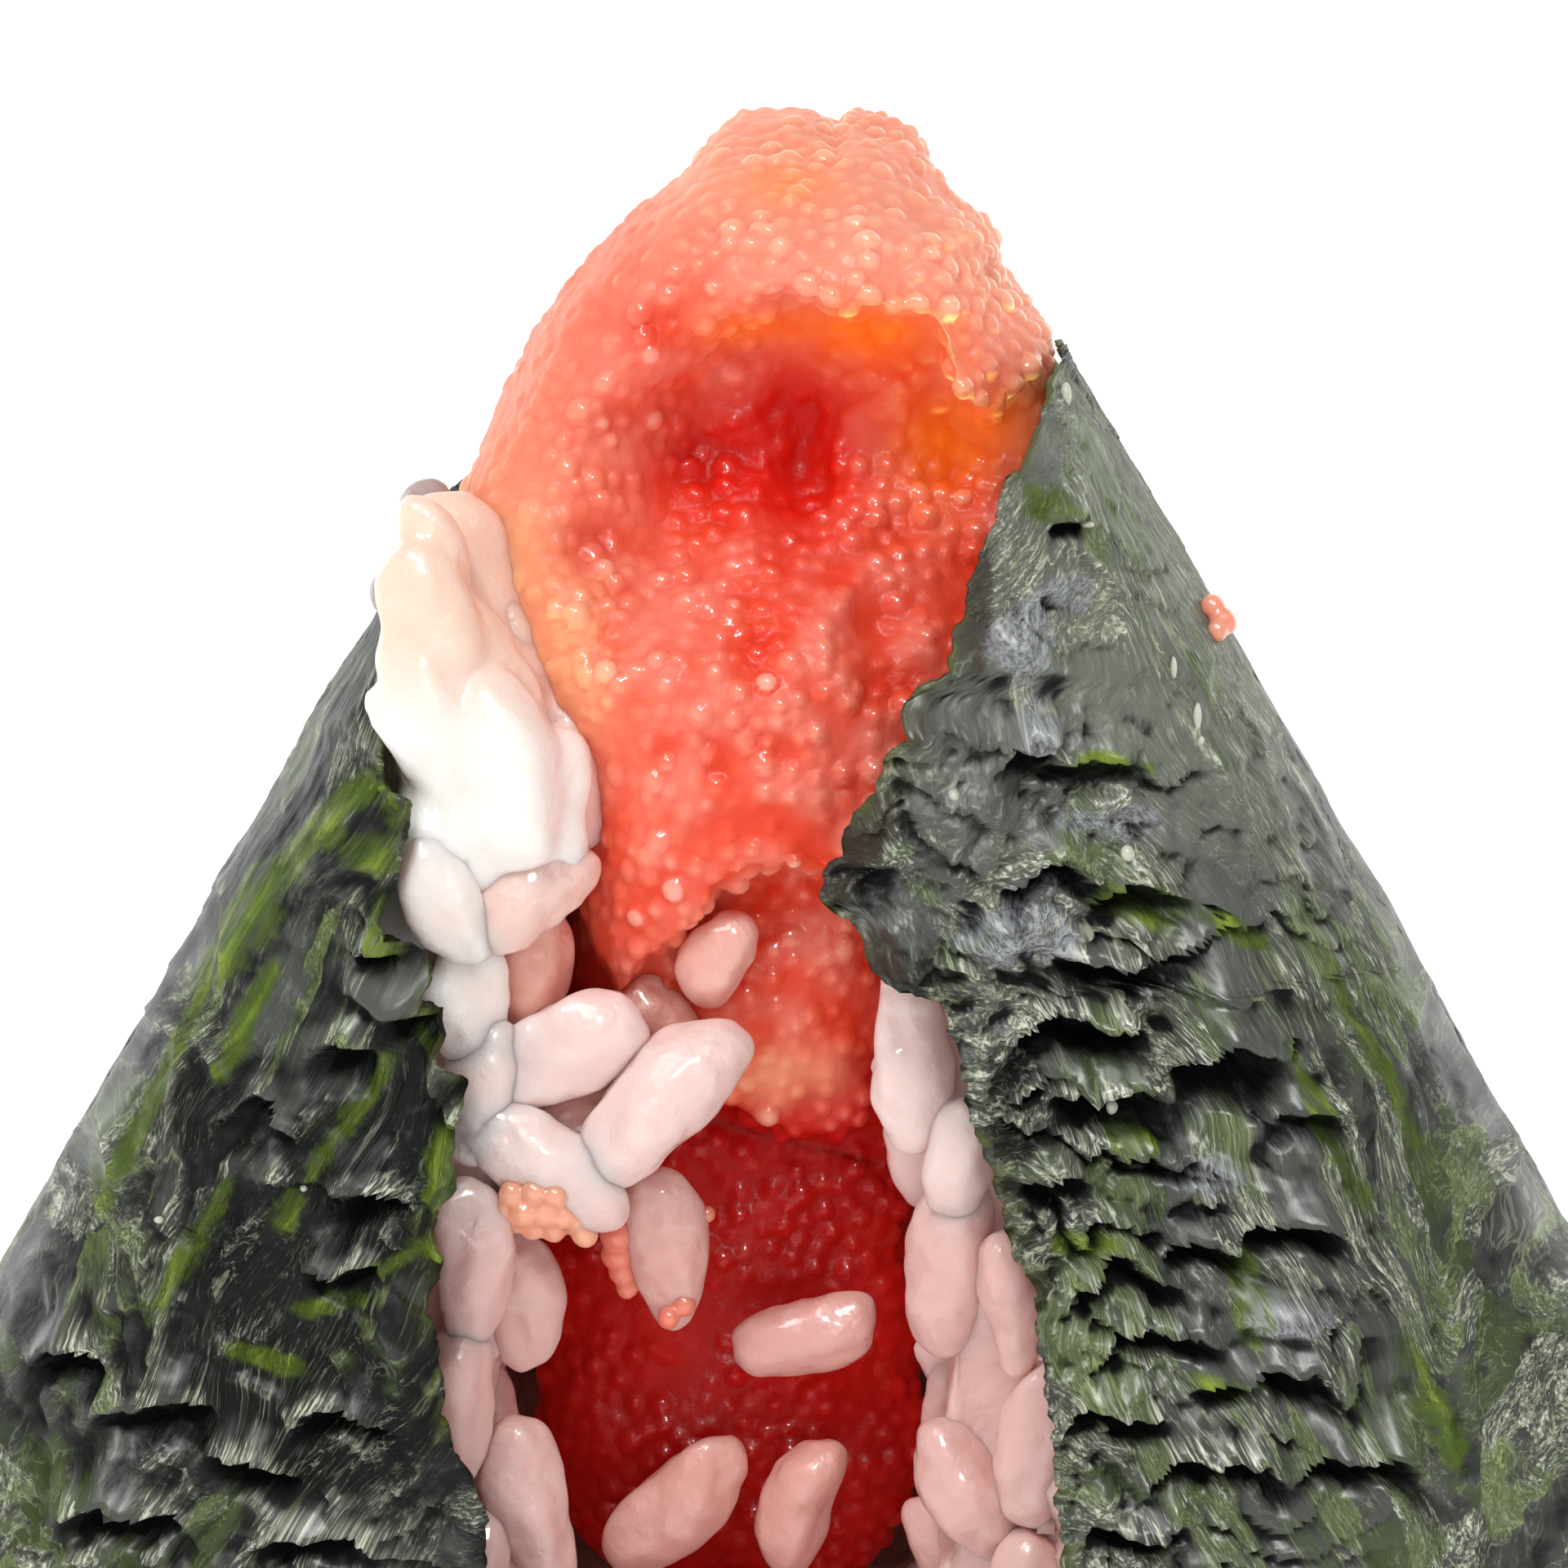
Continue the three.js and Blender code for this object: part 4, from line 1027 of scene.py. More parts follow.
def sliced(source, name, cuts):
    """A closed copy of a piece, cut by planes: a point and the way to what is thrown away, for each."""
    bm = bmesh.new()
    bm.from_mesh(source.data)
    for point, away in cuts:
        everything = bm.verts[:] + bm.edges[:] + bm.faces[:]
        place = Vector(point) * MM
        cut = bmesh.ops.bisect_plane(bm, geom=everything, plane_co=place, plane_no=away, clear_outer=True)
        rim = [item for item in cut["geom_cut"] if isinstance(item, bmesh.types.BMEdge)]
        for edge in rim:
            edge.smooth = False
        for face in bmesh.ops.edgeloop_fill(bm, edges=rim)["faces"]:
            face.smooth = False
    return new_piece(name, bm, smooth=False)


def make_skin():
    """A closed, even skin of the roe."""
    bm = bmesh.new()
    bmesh.ops.create_uvsphere(bm, u_segments=200, v_segments=260, radius=1)
    form = new_piece("roe_form", bm)
    set_points(form, lumped(sac_points(points_of(form))) * MM)
    skin = sliced(form, "roe_skin", [((0, 0, 2), (0, 0, -1))])
    bpy.data.objects.remove(form)
    even_out(skin, SKIN_VOXEL, 3)
    rows = points_of(skin) / MM
    top = smoothstep(rows[:, 2], 66.8, 69)
    for across, half_width, depth in TIP_NOTCHES:
        rows[:, 2] -= depth * top * np.exp(-(((rows[:, 0] - across) / half_width) ** 2))
    set_points(skin, rows * MM)
    return skin


def finish_skin(piece, seed):
    """Gives a skin its lumps, its eggs and its colour numbers."""
    rows = points_of(piece) / MM
    normals = normals_of(piece)
    from_left = rows[:, 0] - along(ROE_LEFT, rows[:, 2])
    loose = 0.3 + 0.7 * smoothstep(from_left, 1.5, 6)
    lump = (0.6 * perlin(rows, 3.1, 3.1) + 0.5 * perlin(rows, 1.6, 7.3)) * loose
    rows = rows + normals * LUMP_HEIGHT * lump[:, None]
    mashed = fractal(rows, 3.6, 3, 6.6)
    clearness = np.clip(0.72 + 0.9 * mashed - 0.7 * (1 - smoothstep(from_left, 0.5, 5)), 0.12, 1)
    grown, height, owner, centres = egg_domes(rows, normals, clearness, seed)
    set_points(piece, grown * MM)
    tints = np.random.default_rng(seed + 2).random(len(centres))[owner]
    low = (centres[owner][:, 2] - grown[:, 2]) / EGG_RADIUS
    chosen = np.maximum(smoothstep(tints, 0.6, 0.7), owner >= len(centres) - BEADS["glinting"])
    lower_edge = smoothstep(low, 0.35, 0.8) * smoothstep(height, -0.25, 0)
    set_attributes(
        piece,
        egg=tints,
        lump=np.clip(0.5 + 0.9 * lump, 0, 1),
        dome=np.clip(0.5 + height * 2, 0, 1),
        # Painted shade: the dent is painted a deep red.
        crater=near_spot(grown, DENT_SHADE),
        pale=pale_and_lit_share(grown),
        peach=near_spot(grown, PEACH_BORDER) * (1 - 0.4 * smoothstep(-lump, 0.1, 0.5)),
        glow=near_spot(grown, GLOW),
        # Painted shade: the deep roe set back low in the opening.
        deep=smoothstep(grown[:, 1], -9.4, -7.6) * smoothstep(-grown[:, 2], -38, -34),
        glint=lower_edge * chosen * near_spot(grown, GLINTS),
    )
    print(piece.name + ":", len(centres), "eggs,", len(piece.data.polygons), "faces")


# %% [markdown]
# ## The roe: its colours
# Light goes deep into the eggs. Some of what it does is painted into the colour: thin and lit parts are
# pale salmon, partly the roe's own colour and partly a painted highlight, the dent and the deep roe in the
# opening are deep red as painted shade, and one side of the dent has a painted orange glow, which is also
# given as emission, as are yellow glints on some eggs. Each region is a few soft spots on the face, and
# the number that a vertex gets from them is stored for the material.

# %% Colour spots of the roe
# Spots: across, height, half-width, half-height, strength. The spots of the dent are painted shade, and
# the glow and the glints are painted light.
DENT_SHADE = [
    [0, 55.8, 1.9, 3.9, 1], [-3.4, 55.6, 2.8, 1.9, 0.8], [-8, 52.6, 1.3, 1.1, 0.6],
    [-1.5, 56.5, 4.6, 3.4, 0.45], [4.5, 53, 3, 3.4, 0.25], [-5.5, 61, 1.6, 0.9, 0.4],
]
GLOW = [
    [2.9, 60.6, 2.6, 1.2, 1], [-1.6, 60.9, 2.6, 0.8, 0.6], [-0.4, 66.4, 1.8, 0.9, 0.5],
    [6.8, 56.4, 2.4, 1.6, 0.6], [5.2, 56.2, 1.6, 3, 0.5], [8.4, 57.6, 1.6, 1.2, 0.4],
]
GLINTS = [
    [4.6, 61.7, 4.4, 1.1, 1], [6.6, 58.4, 2.6, 1.2, 1], [5.4, 64.4, 1, 0.8, 1], [-9.4, 50, 2, 3.6, 0.4],
]
PEACH_BORDER = [[-11.4, 52.2, 2.6, 3.4, 1], [-8.6, 47.6, 1.8, 3.6, 0.9], [-0.5, 31.6, 4.5, 1.1, 0.8]]


def near_spot(rows, spots):
    """How much of a group of soft spots is on each row, from 0 to 1."""
    total = 0
    for across, height, half_width, half_height, strength in spots:
        reach = ((rows[:, 0] - across) / half_width) ** 2 + ((rows[:, 2] - height) / half_height) ** 2
        total = total + strength * np.exp(-reach)
    return np.clip(total, 0, 1)


def pale_and_lit_share(rows):
    """How pale the roe is: most at the top, and less to the left and down. It is partly the roe's own colour
    and partly a painted highlight of the lit top.
    """
    high = smoothstep(rows[:, 2] + 0.45 * rows[:, 0] + 1.4 * perlin(rows, 3.5, 2.2), 57, 66)
    left = 0.5 * smoothstep(-rows[:, 0], 4, 9.5) * smoothstep(rows[:, 2], 50, 56)
    behind = 0.8 * smoothstep(rows[:, 1], -2, 6) * smoothstep(rows[:, 2], 52, 60)
    return np.max([high, left, behind], axis=0)


def roe_paint():
    """The finish of the roe: its reds, made paler and deeper by painted light and shade, then the regions,
    then the deep part in painted shade.
    """
    paint = Paint(
        "raw_roe", Subsurface_Weight=0.75, Subsurface_Radius=(1.0, 0.34, 0.18), Subsurface_Scale=1.9 * MM,
        Specular_IOR_Level=0.12, Coat_Roughness=0.1, Coat_IOR=1.42, Emission_Strength=1.1,
    )
    skin = paint.stored("egg", "dome", "lump", "crater", "deep", "glow", "peach", "pale", "glint")
    blotch = paint.noise(2.6, 3.0)
    colour = paint.layers(
        paint.mix(paint.fade(paint.axis(2), 30, 36), rgb(244, 98, 54), rgb(246, 92, 60)),
        # Painted light and shade over the roe's own blotches: raised lumps are paler, low ones a deeper red.
        (paint.fade(skin.lump * 0.7 + blotch * 0.6, 0.45, 0.9) * 0.85, (251, 152, 130)),
        (paint.fade(skin.lump + blotch * 0.4, 0.45, 0.2) * 0.6, (240, 52, 16)),
        (paint.fade(skin.egg, 0.72, 0.9) * paint.fade(skin.dome, 0.5, 0.75) * 0.6, (255, 192, 176)),
        # Partly the roe's own colour and partly a painted highlight: the top is pale.
        (skin.pale * 0.9, (255, 186, 156)),
        # Painted light: an orange glow under the bitten edge, where light comes through the eggs.
        (skin.glow * 0.92, (255, 146, 14)),
        (skin.peach * 0.92, (255, 192, 146)),
        # Painted shade: the dent is deep red.
        (skin.crater * 0.95, (216, 12, 0)),
        # Painted shade: the deep roe in the opening is dark red.
        (skin.deep, (196, 22, 20)),
        (paint.fade(skin.egg, 0.85, 0.95) * skin.deep * 0.5, (214, 70, 58)),
        # Painted shade: the gaps between the eggs are a deeper red.
        ((1 - skin.dome) * 0.3, (216, 30, 12)),
    )
    paint.feed("Base Color", colour)
    wet = 0.06 + 0.9 * paint.fade(skin.dome, 0.38, 0.62)
    paint.feed("Coat Weight", wet * (1 - 0.4 * skin.crater) * (1 - 0.4 * skin.deep))
    paint.feed("Roughness", 0.35 + 0.2 * paint.noise(0.8, 2.0))
    # Emission paints light: the orange glow under the bitten edge and yellow glints on the lower sides of
    # some eggs.
    lit = paint.mix(skin.glow * 0.2, (0.0, 0.0, 0.0), rgb(255, 110, 4))
    paint.feed("Emission Color", paint.mix(skin.glint, lit, rgb(255, 222, 120)))
    paint.bump((0.05, paint.noise(0.25, 2.0)))
    return paint.material


ROE_FINISH = roe_paint()
skin = make_skin()
finish_skin(skin, 11)
roe_parts = [
    sliced(skin, "roe_front", [(UNDER_FOLD[0], -Vector(UNDER_FOLD[1])), BEHIND_FRONT]),
    sliced(skin, "roe_deep", [UNDER_FOLD, BEHIND_DEEP]),
]
bpy.data.objects.remove(skin)
for skin in roe_parts:
    print(skin.name + ":", len(skin.data.polygons), "faces")
    skin.data.materials.append(ROE_FINISH)
    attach(skin, "root")
    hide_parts("pollock_roe")

# %% [markdown]
# ## The rice: one cooked grain
# A cooked short grain is plump, a little bent and blunt at both ends, with soft dents where it pressed on
# its neighbours. Each one starts as an icosphere, whose faces are all about the same size, so the dents
# stay smooth. The grains that the camera sees well get more faces than the ones in the walls.

# %% One grain
GRAIN_LENGTH = 7.4
GRAIN_WIDTH = 3.5
GRAIN_FLATNESS = 0.84
GRAIN_BLUNTNESS = 0.1
FINE_STEPS = 5
COARSE_STEPS = 4


def grain_points(unit, grain, seed):
    """Where the vertices of one grain lie, from [x, y, z, length, width, tilt, lean]."""
    x, y, z, length, width, tilt, lean = grain
    draw = np.random.default_rng(seed)
    bend, twist, plump = draw.uniform(-0.3, 0.3), draw.uniform(0, 6.3), draw.uniform(-0.12, 0.12)
    across, thick, run = unit[:, 0], unit[:, 1], unit[:, 2]
    blunt = (1.03 - run**2) ** -GRAIN_BLUNTNESS
    angle = np.arctan2(thick, across)
    flute = 0.94 + 0.04 * np.cos(3 * angle + twist) + 0.02 * np.cos(5 * angle) + plump * run
    rows = stack(
        across * width / 2 * blunt * flute + bend * (run**2 - 0.4),
        thick * width / 2 * GRAIN_FLATNESS * blunt * flute,
        run * length / 2,
    )
    dents = 0.42 * perlin(rows, (1.9, 1.9, 2.6), seed * 1.7)
    dents -= 0.1 * np.abs(perlin(rows, (1.3, 1.3, 2.8), seed * 3.1))
    dents += 0.1 * perlin(rows, 0.8, seed * 2.3)
    rows += unit * dents[:, None]
    turn = Matrix.Rotation(math.radians(90 - tilt), 3, "Y") @ Matrix.Rotation(math.radians(lean), 3, "X")
    return rows @ np.array(turn).T + [x, y, z]


def grain_cluster(name, grains, seed, steps, stains_and_shade=None):
    """One piece from several grains, each with its own tint. Stains of roe go by a grain's number, and on a
    grain in shadow they are partly painted shade.
    """
    bm = bmesh.new()
    tints, stain_and_shade_share = [], []
    draw = np.random.default_rng(seed)
    for index, grain in enumerate(grains):
        made = bmesh.ops.create_icosphere(bm, subdivisions=steps, radius=1)["verts"]
        unit = np.array([vert.co for vert in made])
        for vert, place in zip(made, tucked(grain_points(unit, grain, seed + index)).tolist()):
            vert.co = Vector(place) * MM
        tints += [draw.random()] * len(made)
        stain_and_shade_share += [(stains_and_shade or {}).get(index, 0)] * len(made)
    piece = new_piece(name, bm)
    set_attributes(piece, tint=tints, stain=stain_and_shade_share)
    print(name + ":", len(grains), "grains,", len(piece.data.polygons), "faces")
    return piece


# %% [markdown]
# ## The rice: under the sheet
# The sheet holds the grains in, so none may poke through it. Any vertex that would is pressed back along
# the straight way into the wrapped triangle. The press fades out at the torn edges, where the grains are
# free.

# %% Press the rice under the sheet
UNDER_EDGE = 0.5
UNDER_SHEET = 1.95


def tucked(rows):
    """Presses what would poke through the sheet back under it."""
    x, y, z = rows.T
    half_width, half_depth, radius = section(z, 0)
    side = np.abs(x) - (half_width - radius)
    front = np.abs(y) / crown(x, half_width) - (half_depth - radius)
    bend = np.arctan2(np.maximum(side, 0), np.maximum(front, 1e-6))
    run = np.where(side > 0, half_width - radius + radius * bend, np.abs(x))
    edge = np.where(x < 0, along(LEFT_EDGE, z), along(RIGHT_EDGE, z))
    inside = np.where(y > 0, 9, run - edge)
    under = smoothstep(inside, -0.2, 0.6) * smoothstep(-z, -60, -57)
    depth = UNDER_EDGE + (UNDER_SHEET - UNDER_EDGE) * smoothstep(inside, 0.3, 3)
    out = np.hypot(np.maximum(side, 0), np.maximum(front, 0)) + np.minimum(np.maximum(side, front), 0)
    push = np.maximum(0, out - radius + depth) * under
    way = stack(np.sign(x) * np.maximum(side, 1e-6), np.sign(y) * np.maximum(front, 1e-6), 0)
    way = way / np.linalg.norm(way, axis=1)[:, None]
    return rows - way * push[:, None]


# %% [markdown]
# ## The rice: where the grains are
# The grains that show well are placed one by one. The ones on the upper left are pressed into one mass,
# so they are a list of their own. The walls of the opening and the bitten rim get theirs from rows with a
# little chance in them, drawn in the same way as in the CAD model.

# %% Places of the grains
CORE_INSET = 1.36
SHOWN_GRAINS = [
    [-5.1, -13, 31.5, 8.1, 4.2, 45, -6], [-9.2, -12.4, 33.2, 7.4, 4, 28, 4],
    [-5.1, -10.8, 25.2, 6.6, 3.4, 97, 10], [-9.9, -13.2, 29, 7.8, 3.7, 146, 0],
    [-12.2, -13, 31.8, 5.8, 3.2, 80, 0], [-12.7, -12.9, 35.4, 5.4, 3.2, 88, 0],
    [-13.5, -13.9, 39.4, 5.8, 3.2, 118, 6], [-10.2, -12.8, 39.3, 5.9, 3.5, 35, -8],
    [-10.4, -11, 36.4, 5.4, 3.6, 80, 0], [-5.5, -9.6, 34.2, 3.6, 2.8, 130, 0],
    [-9, -10.8, 29.8, 6.4, 3.4, 30, 0], [-12.6, -13.6, 25.2, 6.6, 3.4, 92, 0],
    [-10.8, -11.4, 23.4, 6.2, 3.2, 100, 0], [4.3, -12.4, 33.1, 7.6, 3.3, 94, 0],
    [6.3, -13, 29.3, 4.6, 3, 80, 0], [6, -12, 24.8, 7.4, 3.7, 86, 4], [8.4, -13.4, 23.6, 6, 3, 100, 0],
    [5, -9.6, 29.4, 5.4, 3.4, 92, 0], [6.8, -12.2, 15.8, 6.6, 3.6, 124, 0],
    [-10.4, -12.8, 15.4, 7.2, 3.4, 102, 0], [-6.2, -12.6, 9.4, 7, 3.6, 28, 0],
    [-1.4, -13.4, 7.6, 7.2, 3.6, 6, 0], [3.4, -12.6, 9, 6.8, 3.5, 146, 0],
    [-3.4, -10.4, 9.4, 6.4, 3.4, 170, 0], [-13.2, -13.6, 19.6, 6.4, 3.3, 84, 0],
    [-13, -13.4, 12.4, 6.4, 3.4, 66, 0], [-9.4, -13.4, 8.2, 6.2, 3.4, 128, 0],
    [-4.6, -13.2, 5.6, 6.4, 3.4, 172, 0], [9.4, -13.6, 18, 6.6, 3.4, 78, 0],
    [9.6, -13.4, 11.6, 6.2, 3.4, 112, 0], [6.6, -13.4, 8.6, 6.2, 3.4, 48, 0],
    [1.8, -13.2, 5.4, 6.6, 3.4, 12, 0],
]
PRESSED_GRAINS = [
    [-13.9, -12.2, 52.2, 5.6, 2.8, 103, 8], [-14, -12.9, 50, 6.6, 4.2, 108, 6],
    [-11.6, -12.2, 48, 6.6, 2.6, 124, 4], [-14.1, -13.2, 46.4, 7.8, 4.4, 101, 4],
    [-11.1, -13.5, 44.3, 8, 4.4, 101, 0], [-9.1, -12.5, 42.9, 6.2, 2.8, 90, 0],
    [-12.4, -13, 41.6, 5.4, 3.8, 60, 0], [-12.6, -11.6, 47.2, 9, 4.4, 110, 6],
    [-11.4, -11.8, 42.8, 8, 4.8, 100, 0], [-14, -10.8, 48.6, 7, 3.6, 112, 0],
    [-10.9, -10, 48.8, 7.6, 3.6, 121, 0], [-12.9, -9.4, 52.2, 5.6, 3.4, 113, 0],
    [-9, -10.4, 44.4, 7.4, 3.2, 100, 0], [-15.4, -13, 44.8, 6, 3.6, 104, 0],
    [-14.6, -13.2, 41.8, 5, 3.4, 112, 0],
]
LOOSE_GRAINS = [
    [-3, -11, 36.7, 3.9, 3.1, 55, 8], [-4.7, -8.6, 14.6, 6.8, 3.6, 40, 0],
    [0.1, -8.7, 14.6, 5.6, 3.2, 70, 0], [0.4, -8.8, 21.4, 6, 3.3, 12, 0],
]
# Where the CAD rice has eggs of its own, which the pressed rice must not keep
CAD_EGGS = [
    [-11.2, -14.6, 28], [-10.3, -14.9, 27.6], [-9.5, -14.6, 27.3], [-8.7, -14.4, 27], [-8.1, -14.3, 26.3],
]
WALL_ROWS = [[-13.4, 4.4], [-8.8, 6.4]]
WALL_GRAINS = {
    "from": 12, "to": 42, "clear": 4, "stand_off": [1.1, 1.6], "jitter": 1.4, "sizes": [0.86, 1.06],
    "tilts": [60, 130], "leans": [-10, 10],
}
RIM_GRAINS = {
    "count": 15, "turns": [0.64, 1.46], "stagger": 0.4, "insets": [1.3, 3.2], "drops": [1.6, 0.4],
    "jitter": 0.8, "sizes": [0.85, 1.05], "shortness": 0.8, "tilts": [0, 180], "leans": [-30, 30],
}
DRAW_FACTOR = 1664525
DRAW_SHIFT = 1013904223
DRAW_RANGE = 2**32


def make_draw(state):
    """A repeatable draw from 0 to 1."""
    while True:
        state = (state * DRAW_FACTOR + DRAW_SHIFT) % DRAW_RANGE
        yield state / DRAW_RANGE


def between(pair, share):
    """The value a share of the way from the first of a pair to the second."""
    return pair[0] + (pair[1] - pair[0]) * share


def wall_grains(draw):
    """Grains along both walls of the opening, where none is named."""
    grains = []
    named = [grain[:3] for grain in SHOWN_GRAINS + PRESSED_GRAINS]
    for side, edge in ((-1, ROE_LEFT), (1, ROE_RIGHT)):
        for y, step in WALL_ROWS:
            for low in np.arange(WALL_GRAINS["from"], WALL_GRAINS["to"], step):
                z = low + WALL_GRAINS["jitter"] * next(draw)
                x = along(edge, z) + side * between(WALL_GRAINS["stand_off"], next(draw))
                size = between(WALL_GRAINS["sizes"], next(draw))
                tilt = between(WALL_GRAINS["tilts"], next(draw))
                if all(math.dist(place, (x, y, z)) >= WALL_GRAINS["clear"] for place in named):
                    lean = between(WALL_GRAINS["leans"], next(draw))
                    grains.append([x, y, z, GRAIN_LENGTH * size, GRAIN_WIDTH * size, tilt, lean])
    return grains


def rim_grains(draw):
    """Grains that stand out of the bitten rim."""
    grains = []
    for index in range(RIM_GRAINS["count"]):
        row = index % 2
        share = (index + RIM_GRAINS["stagger"] * next(draw)) / RIM_GRAINS["count"]
        turn = between(RIM_GRAINS["turns"], share)
        z = along(TOP_EDGE, turn / 2) - RIM_GRAINS["drops"][row] + RIM_GRAINS["jitter"] * next(draw)
        x, y = section_point(*section(z, CORE_INSET + RIM_GRAINS["insets"][row]), turn)
        size = between(RIM_GRAINS["sizes"], next(draw))
        tilt = between(RIM_GRAINS["tilts"], next(draw))
        lean = between(RIM_GRAINS["leans"], next(draw))
        length = GRAIN_LENGTH * size * RIM_GRAINS["shortness"]
        grains.append([x, y, z, length, GRAIN_WIDTH * size, tilt, lean])
    return grains


# %% Grains and pressed rice
PRESSED_VOXEL = 0.22
CORE_VOXEL = 0.44
PACKED_PITCH = np.array([3.2, 3.2, 4.6])
# Stains of roe by grain number; the strongest, on the grain that lies in shadow, is partly painted shade.
SHOWN_STAINS_AND_SHADE = {2: 0.2, 7: 0.3, 8: 0.62, 9: 0.45, 10: 0.4}
LOOSE_STAINS = {0: 0.4, 1: 0.2, 2: 0.2, 3: 0.2}


def make_pressed():
    """The grains of the upper left, melted into one mass."""
    piece = grain_cluster("rice_pressed", PRESSED_GRAINS, 400, FINE_STEPS)
    even_out(piece, PRESSED_VOXEL, 14)
    rows = points_of(piece) / MM
    nicks = 0.08 * perlin(rows, 1.1, 5.1)
    set_points(piece, (rows + normals_of(piece) * nicks[:, None]) * MM)
    return piece


def make_core():
    """The pressed rice behind the grains: the CAD rice, made even, with bulges like packed grains."""
    bm = bmesh.new()
    bm.from_mesh(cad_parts["rice"].data)
    bmesh.ops.remove_doubles(bm, verts=bm.verts, dist=0.01 * MM)
    piece = new_piece("rice_core", bm)
    even_out(piece, CORE_VOXEL, 8)
    rows = points_of(piece) / MM
    leaning = rows + stack(0.35 * rows[:, 2], 0, 0) + 1.2 * perlin(rows, 4, 3.3)[:, None]
    packed = np.minimum(cell_gaps(leaning / PACKED_PITCH), 0.55)
    lump = 1.1 * packed + 0.15 * perlin(rows, 1.1, 1.1) - 0.75
    x, y, z = rows.T
    # Where the pressed grains lie over it, the core is even and drawn back
    pressed_over = smoothstep(-x, 4, 7) * smoothstep(z, 30, 34) * smoothstep(-y, 5, 9)
    lump = lump * (1 - pressed_over) - 0.5 * pressed_over
    rows = rows + normals_of(piece) * lump[:, None]
    rows[:, 1] += 1.1 * pressed_over
    # The eggs of the CAD rice are sunk into it
    eggs = np.min([np.linalg.norm(rows - egg, axis=1) for egg in np.array(CAD_EGGS)], axis=0)
    rows[:, 1] += 2.2 * smoothstep(-eggs, -1.8, -0.6)
    set_points(piece, tucked(rows) * MM)
    return piece


draw = make_draw(20)
grains = grain_cluster("rice_grains", SHOWN_GRAINS, 100, FINE_STEPS, SHOWN_STAINS_AND_SHADE)
walls = grain_cluster("rice_walls", wall_grains(draw) + rim_grains(draw), 200, COARSE_STEPS)
loose = grain_cluster("loose_grains", LOOSE_GRAINS, 300, FINE_STEPS, LOOSE_STAINS)
pressed = make_pressed()
core = make_core()


# %% [markdown]
# ## The finish of the rice
# A cooked grain is white and wet, and light goes some way into it, which takes the hardness off its
# shadows. Near the roe a pink is painted on, which stands for red light from the roe and is stronger lower
# down: the distance from each vertex to the skin of the roe gives it. The rice is also painted whiter
# towards the upper left and darker towards the bottom, as painted light and shade, and stains of roe on
# grains that lie in shadow are partly painted shade.

# %% Rice finish
SAMPLE_STEP = 7


def blush(piece, skins):
    """Stores how much painted red light from the roe each vertex gets: more near the roe, and more lower
    down.
    """
    rows = points_of(piece) / MM
    sample = np.concatenate([points_of(skin)[::SAMPLE_STEP] / MM for skin in skins])
    distance = nearest(rows, sample, 1)[1][:, 0]
    low = smoothstep(-rows[:, 2], -34, -20)
    set_attributes(piece, blush=np.clip((0.35 + 0.4 * low) * np.exp(-distance / 1.6), 0, 1))


def rice_paint():
    """The finish of the rice."""
    paint = Paint(
        "cooked_rice", Subsurface_Weight=0.6, Subsurface_Radius=(1.0, 0.66, 0.56), Subsurface_Scale=2.0 * MM,
        Specular_IOR_Level=0.3, Coat_Roughness=0.07, Coat_IOR=1.4,
    )
    grain = paint.stored("tint", "blush", "stain")
    cloud = paint.noise(2.2, 3.0)
    height = paint.axis(2)
    # Painted light: the rice is whiter towards the top and the left.
    upper_left_light = paint.fade(height - paint.axis(0) * 0.6, 39, 44.5)
    colour = paint.layers(
        paint.mix(upper_left_light, rgb(242, 216, 211), rgb(252, 242, 236)),
        (paint.fade(cloud * 0.8 + grain.tint * 0.5, 0.45, 0.95) * 0.5, (238, 206, 198)),
        (paint.fade(height, 45, 50) * 0.85, (246, 212, 190)),
        # Painted shade: the rice is darker towards the bottom.
        (paint.fade(height, 30, 25) * 0.65, (216, 164, 156)),
        # Painted light: red light from the roe, painted on the rice near it.
        (grain.blush, (244, 118, 92)),
        # Stains of roe, which on the grain in shadow are partly painted shade.
        (grain.stain, (222, 122, 88)),
    )
    paint.feed("Base Color", colour)
    paint.feed("Roughness", 0.35 + 0.2 * paint.noise(0.9, 2.0))
    paint.feed("Coat Weight", 0.25 + 0.75 * paint.fade(paint.noise(1.3, 3.0), 0.45, 0.6))
    paint.bump((0.2, paint.noise(1.0, 3.0)), (0.03, paint.noise(0.4, 2.0)))
    return paint.material


RICE_FINISH = rice_paint()
for piece in (grains, walls, loose, pressed, core):
    blush(piece, roe_parts)
    piece.data.materials.append(RICE_FINISH)
    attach(piece, "root")
for piece in (grains, walls, pressed, core):
    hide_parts("rice")
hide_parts("loose_grain_1", "loose_grain_2", "loose_grain_3", "loose_grain_4")

# %% [markdown]
# ## Stray eggs and crumbs
# Eggs cling to two of the grains. A pink crumb, some flecks of starch and two clear drops, which are two
# beads each, stick to the sheet. Each bead is an icosphere, pulled a little out of round. The ones on the
# sheet are placed by their distance along it, so that they lie on its folds.

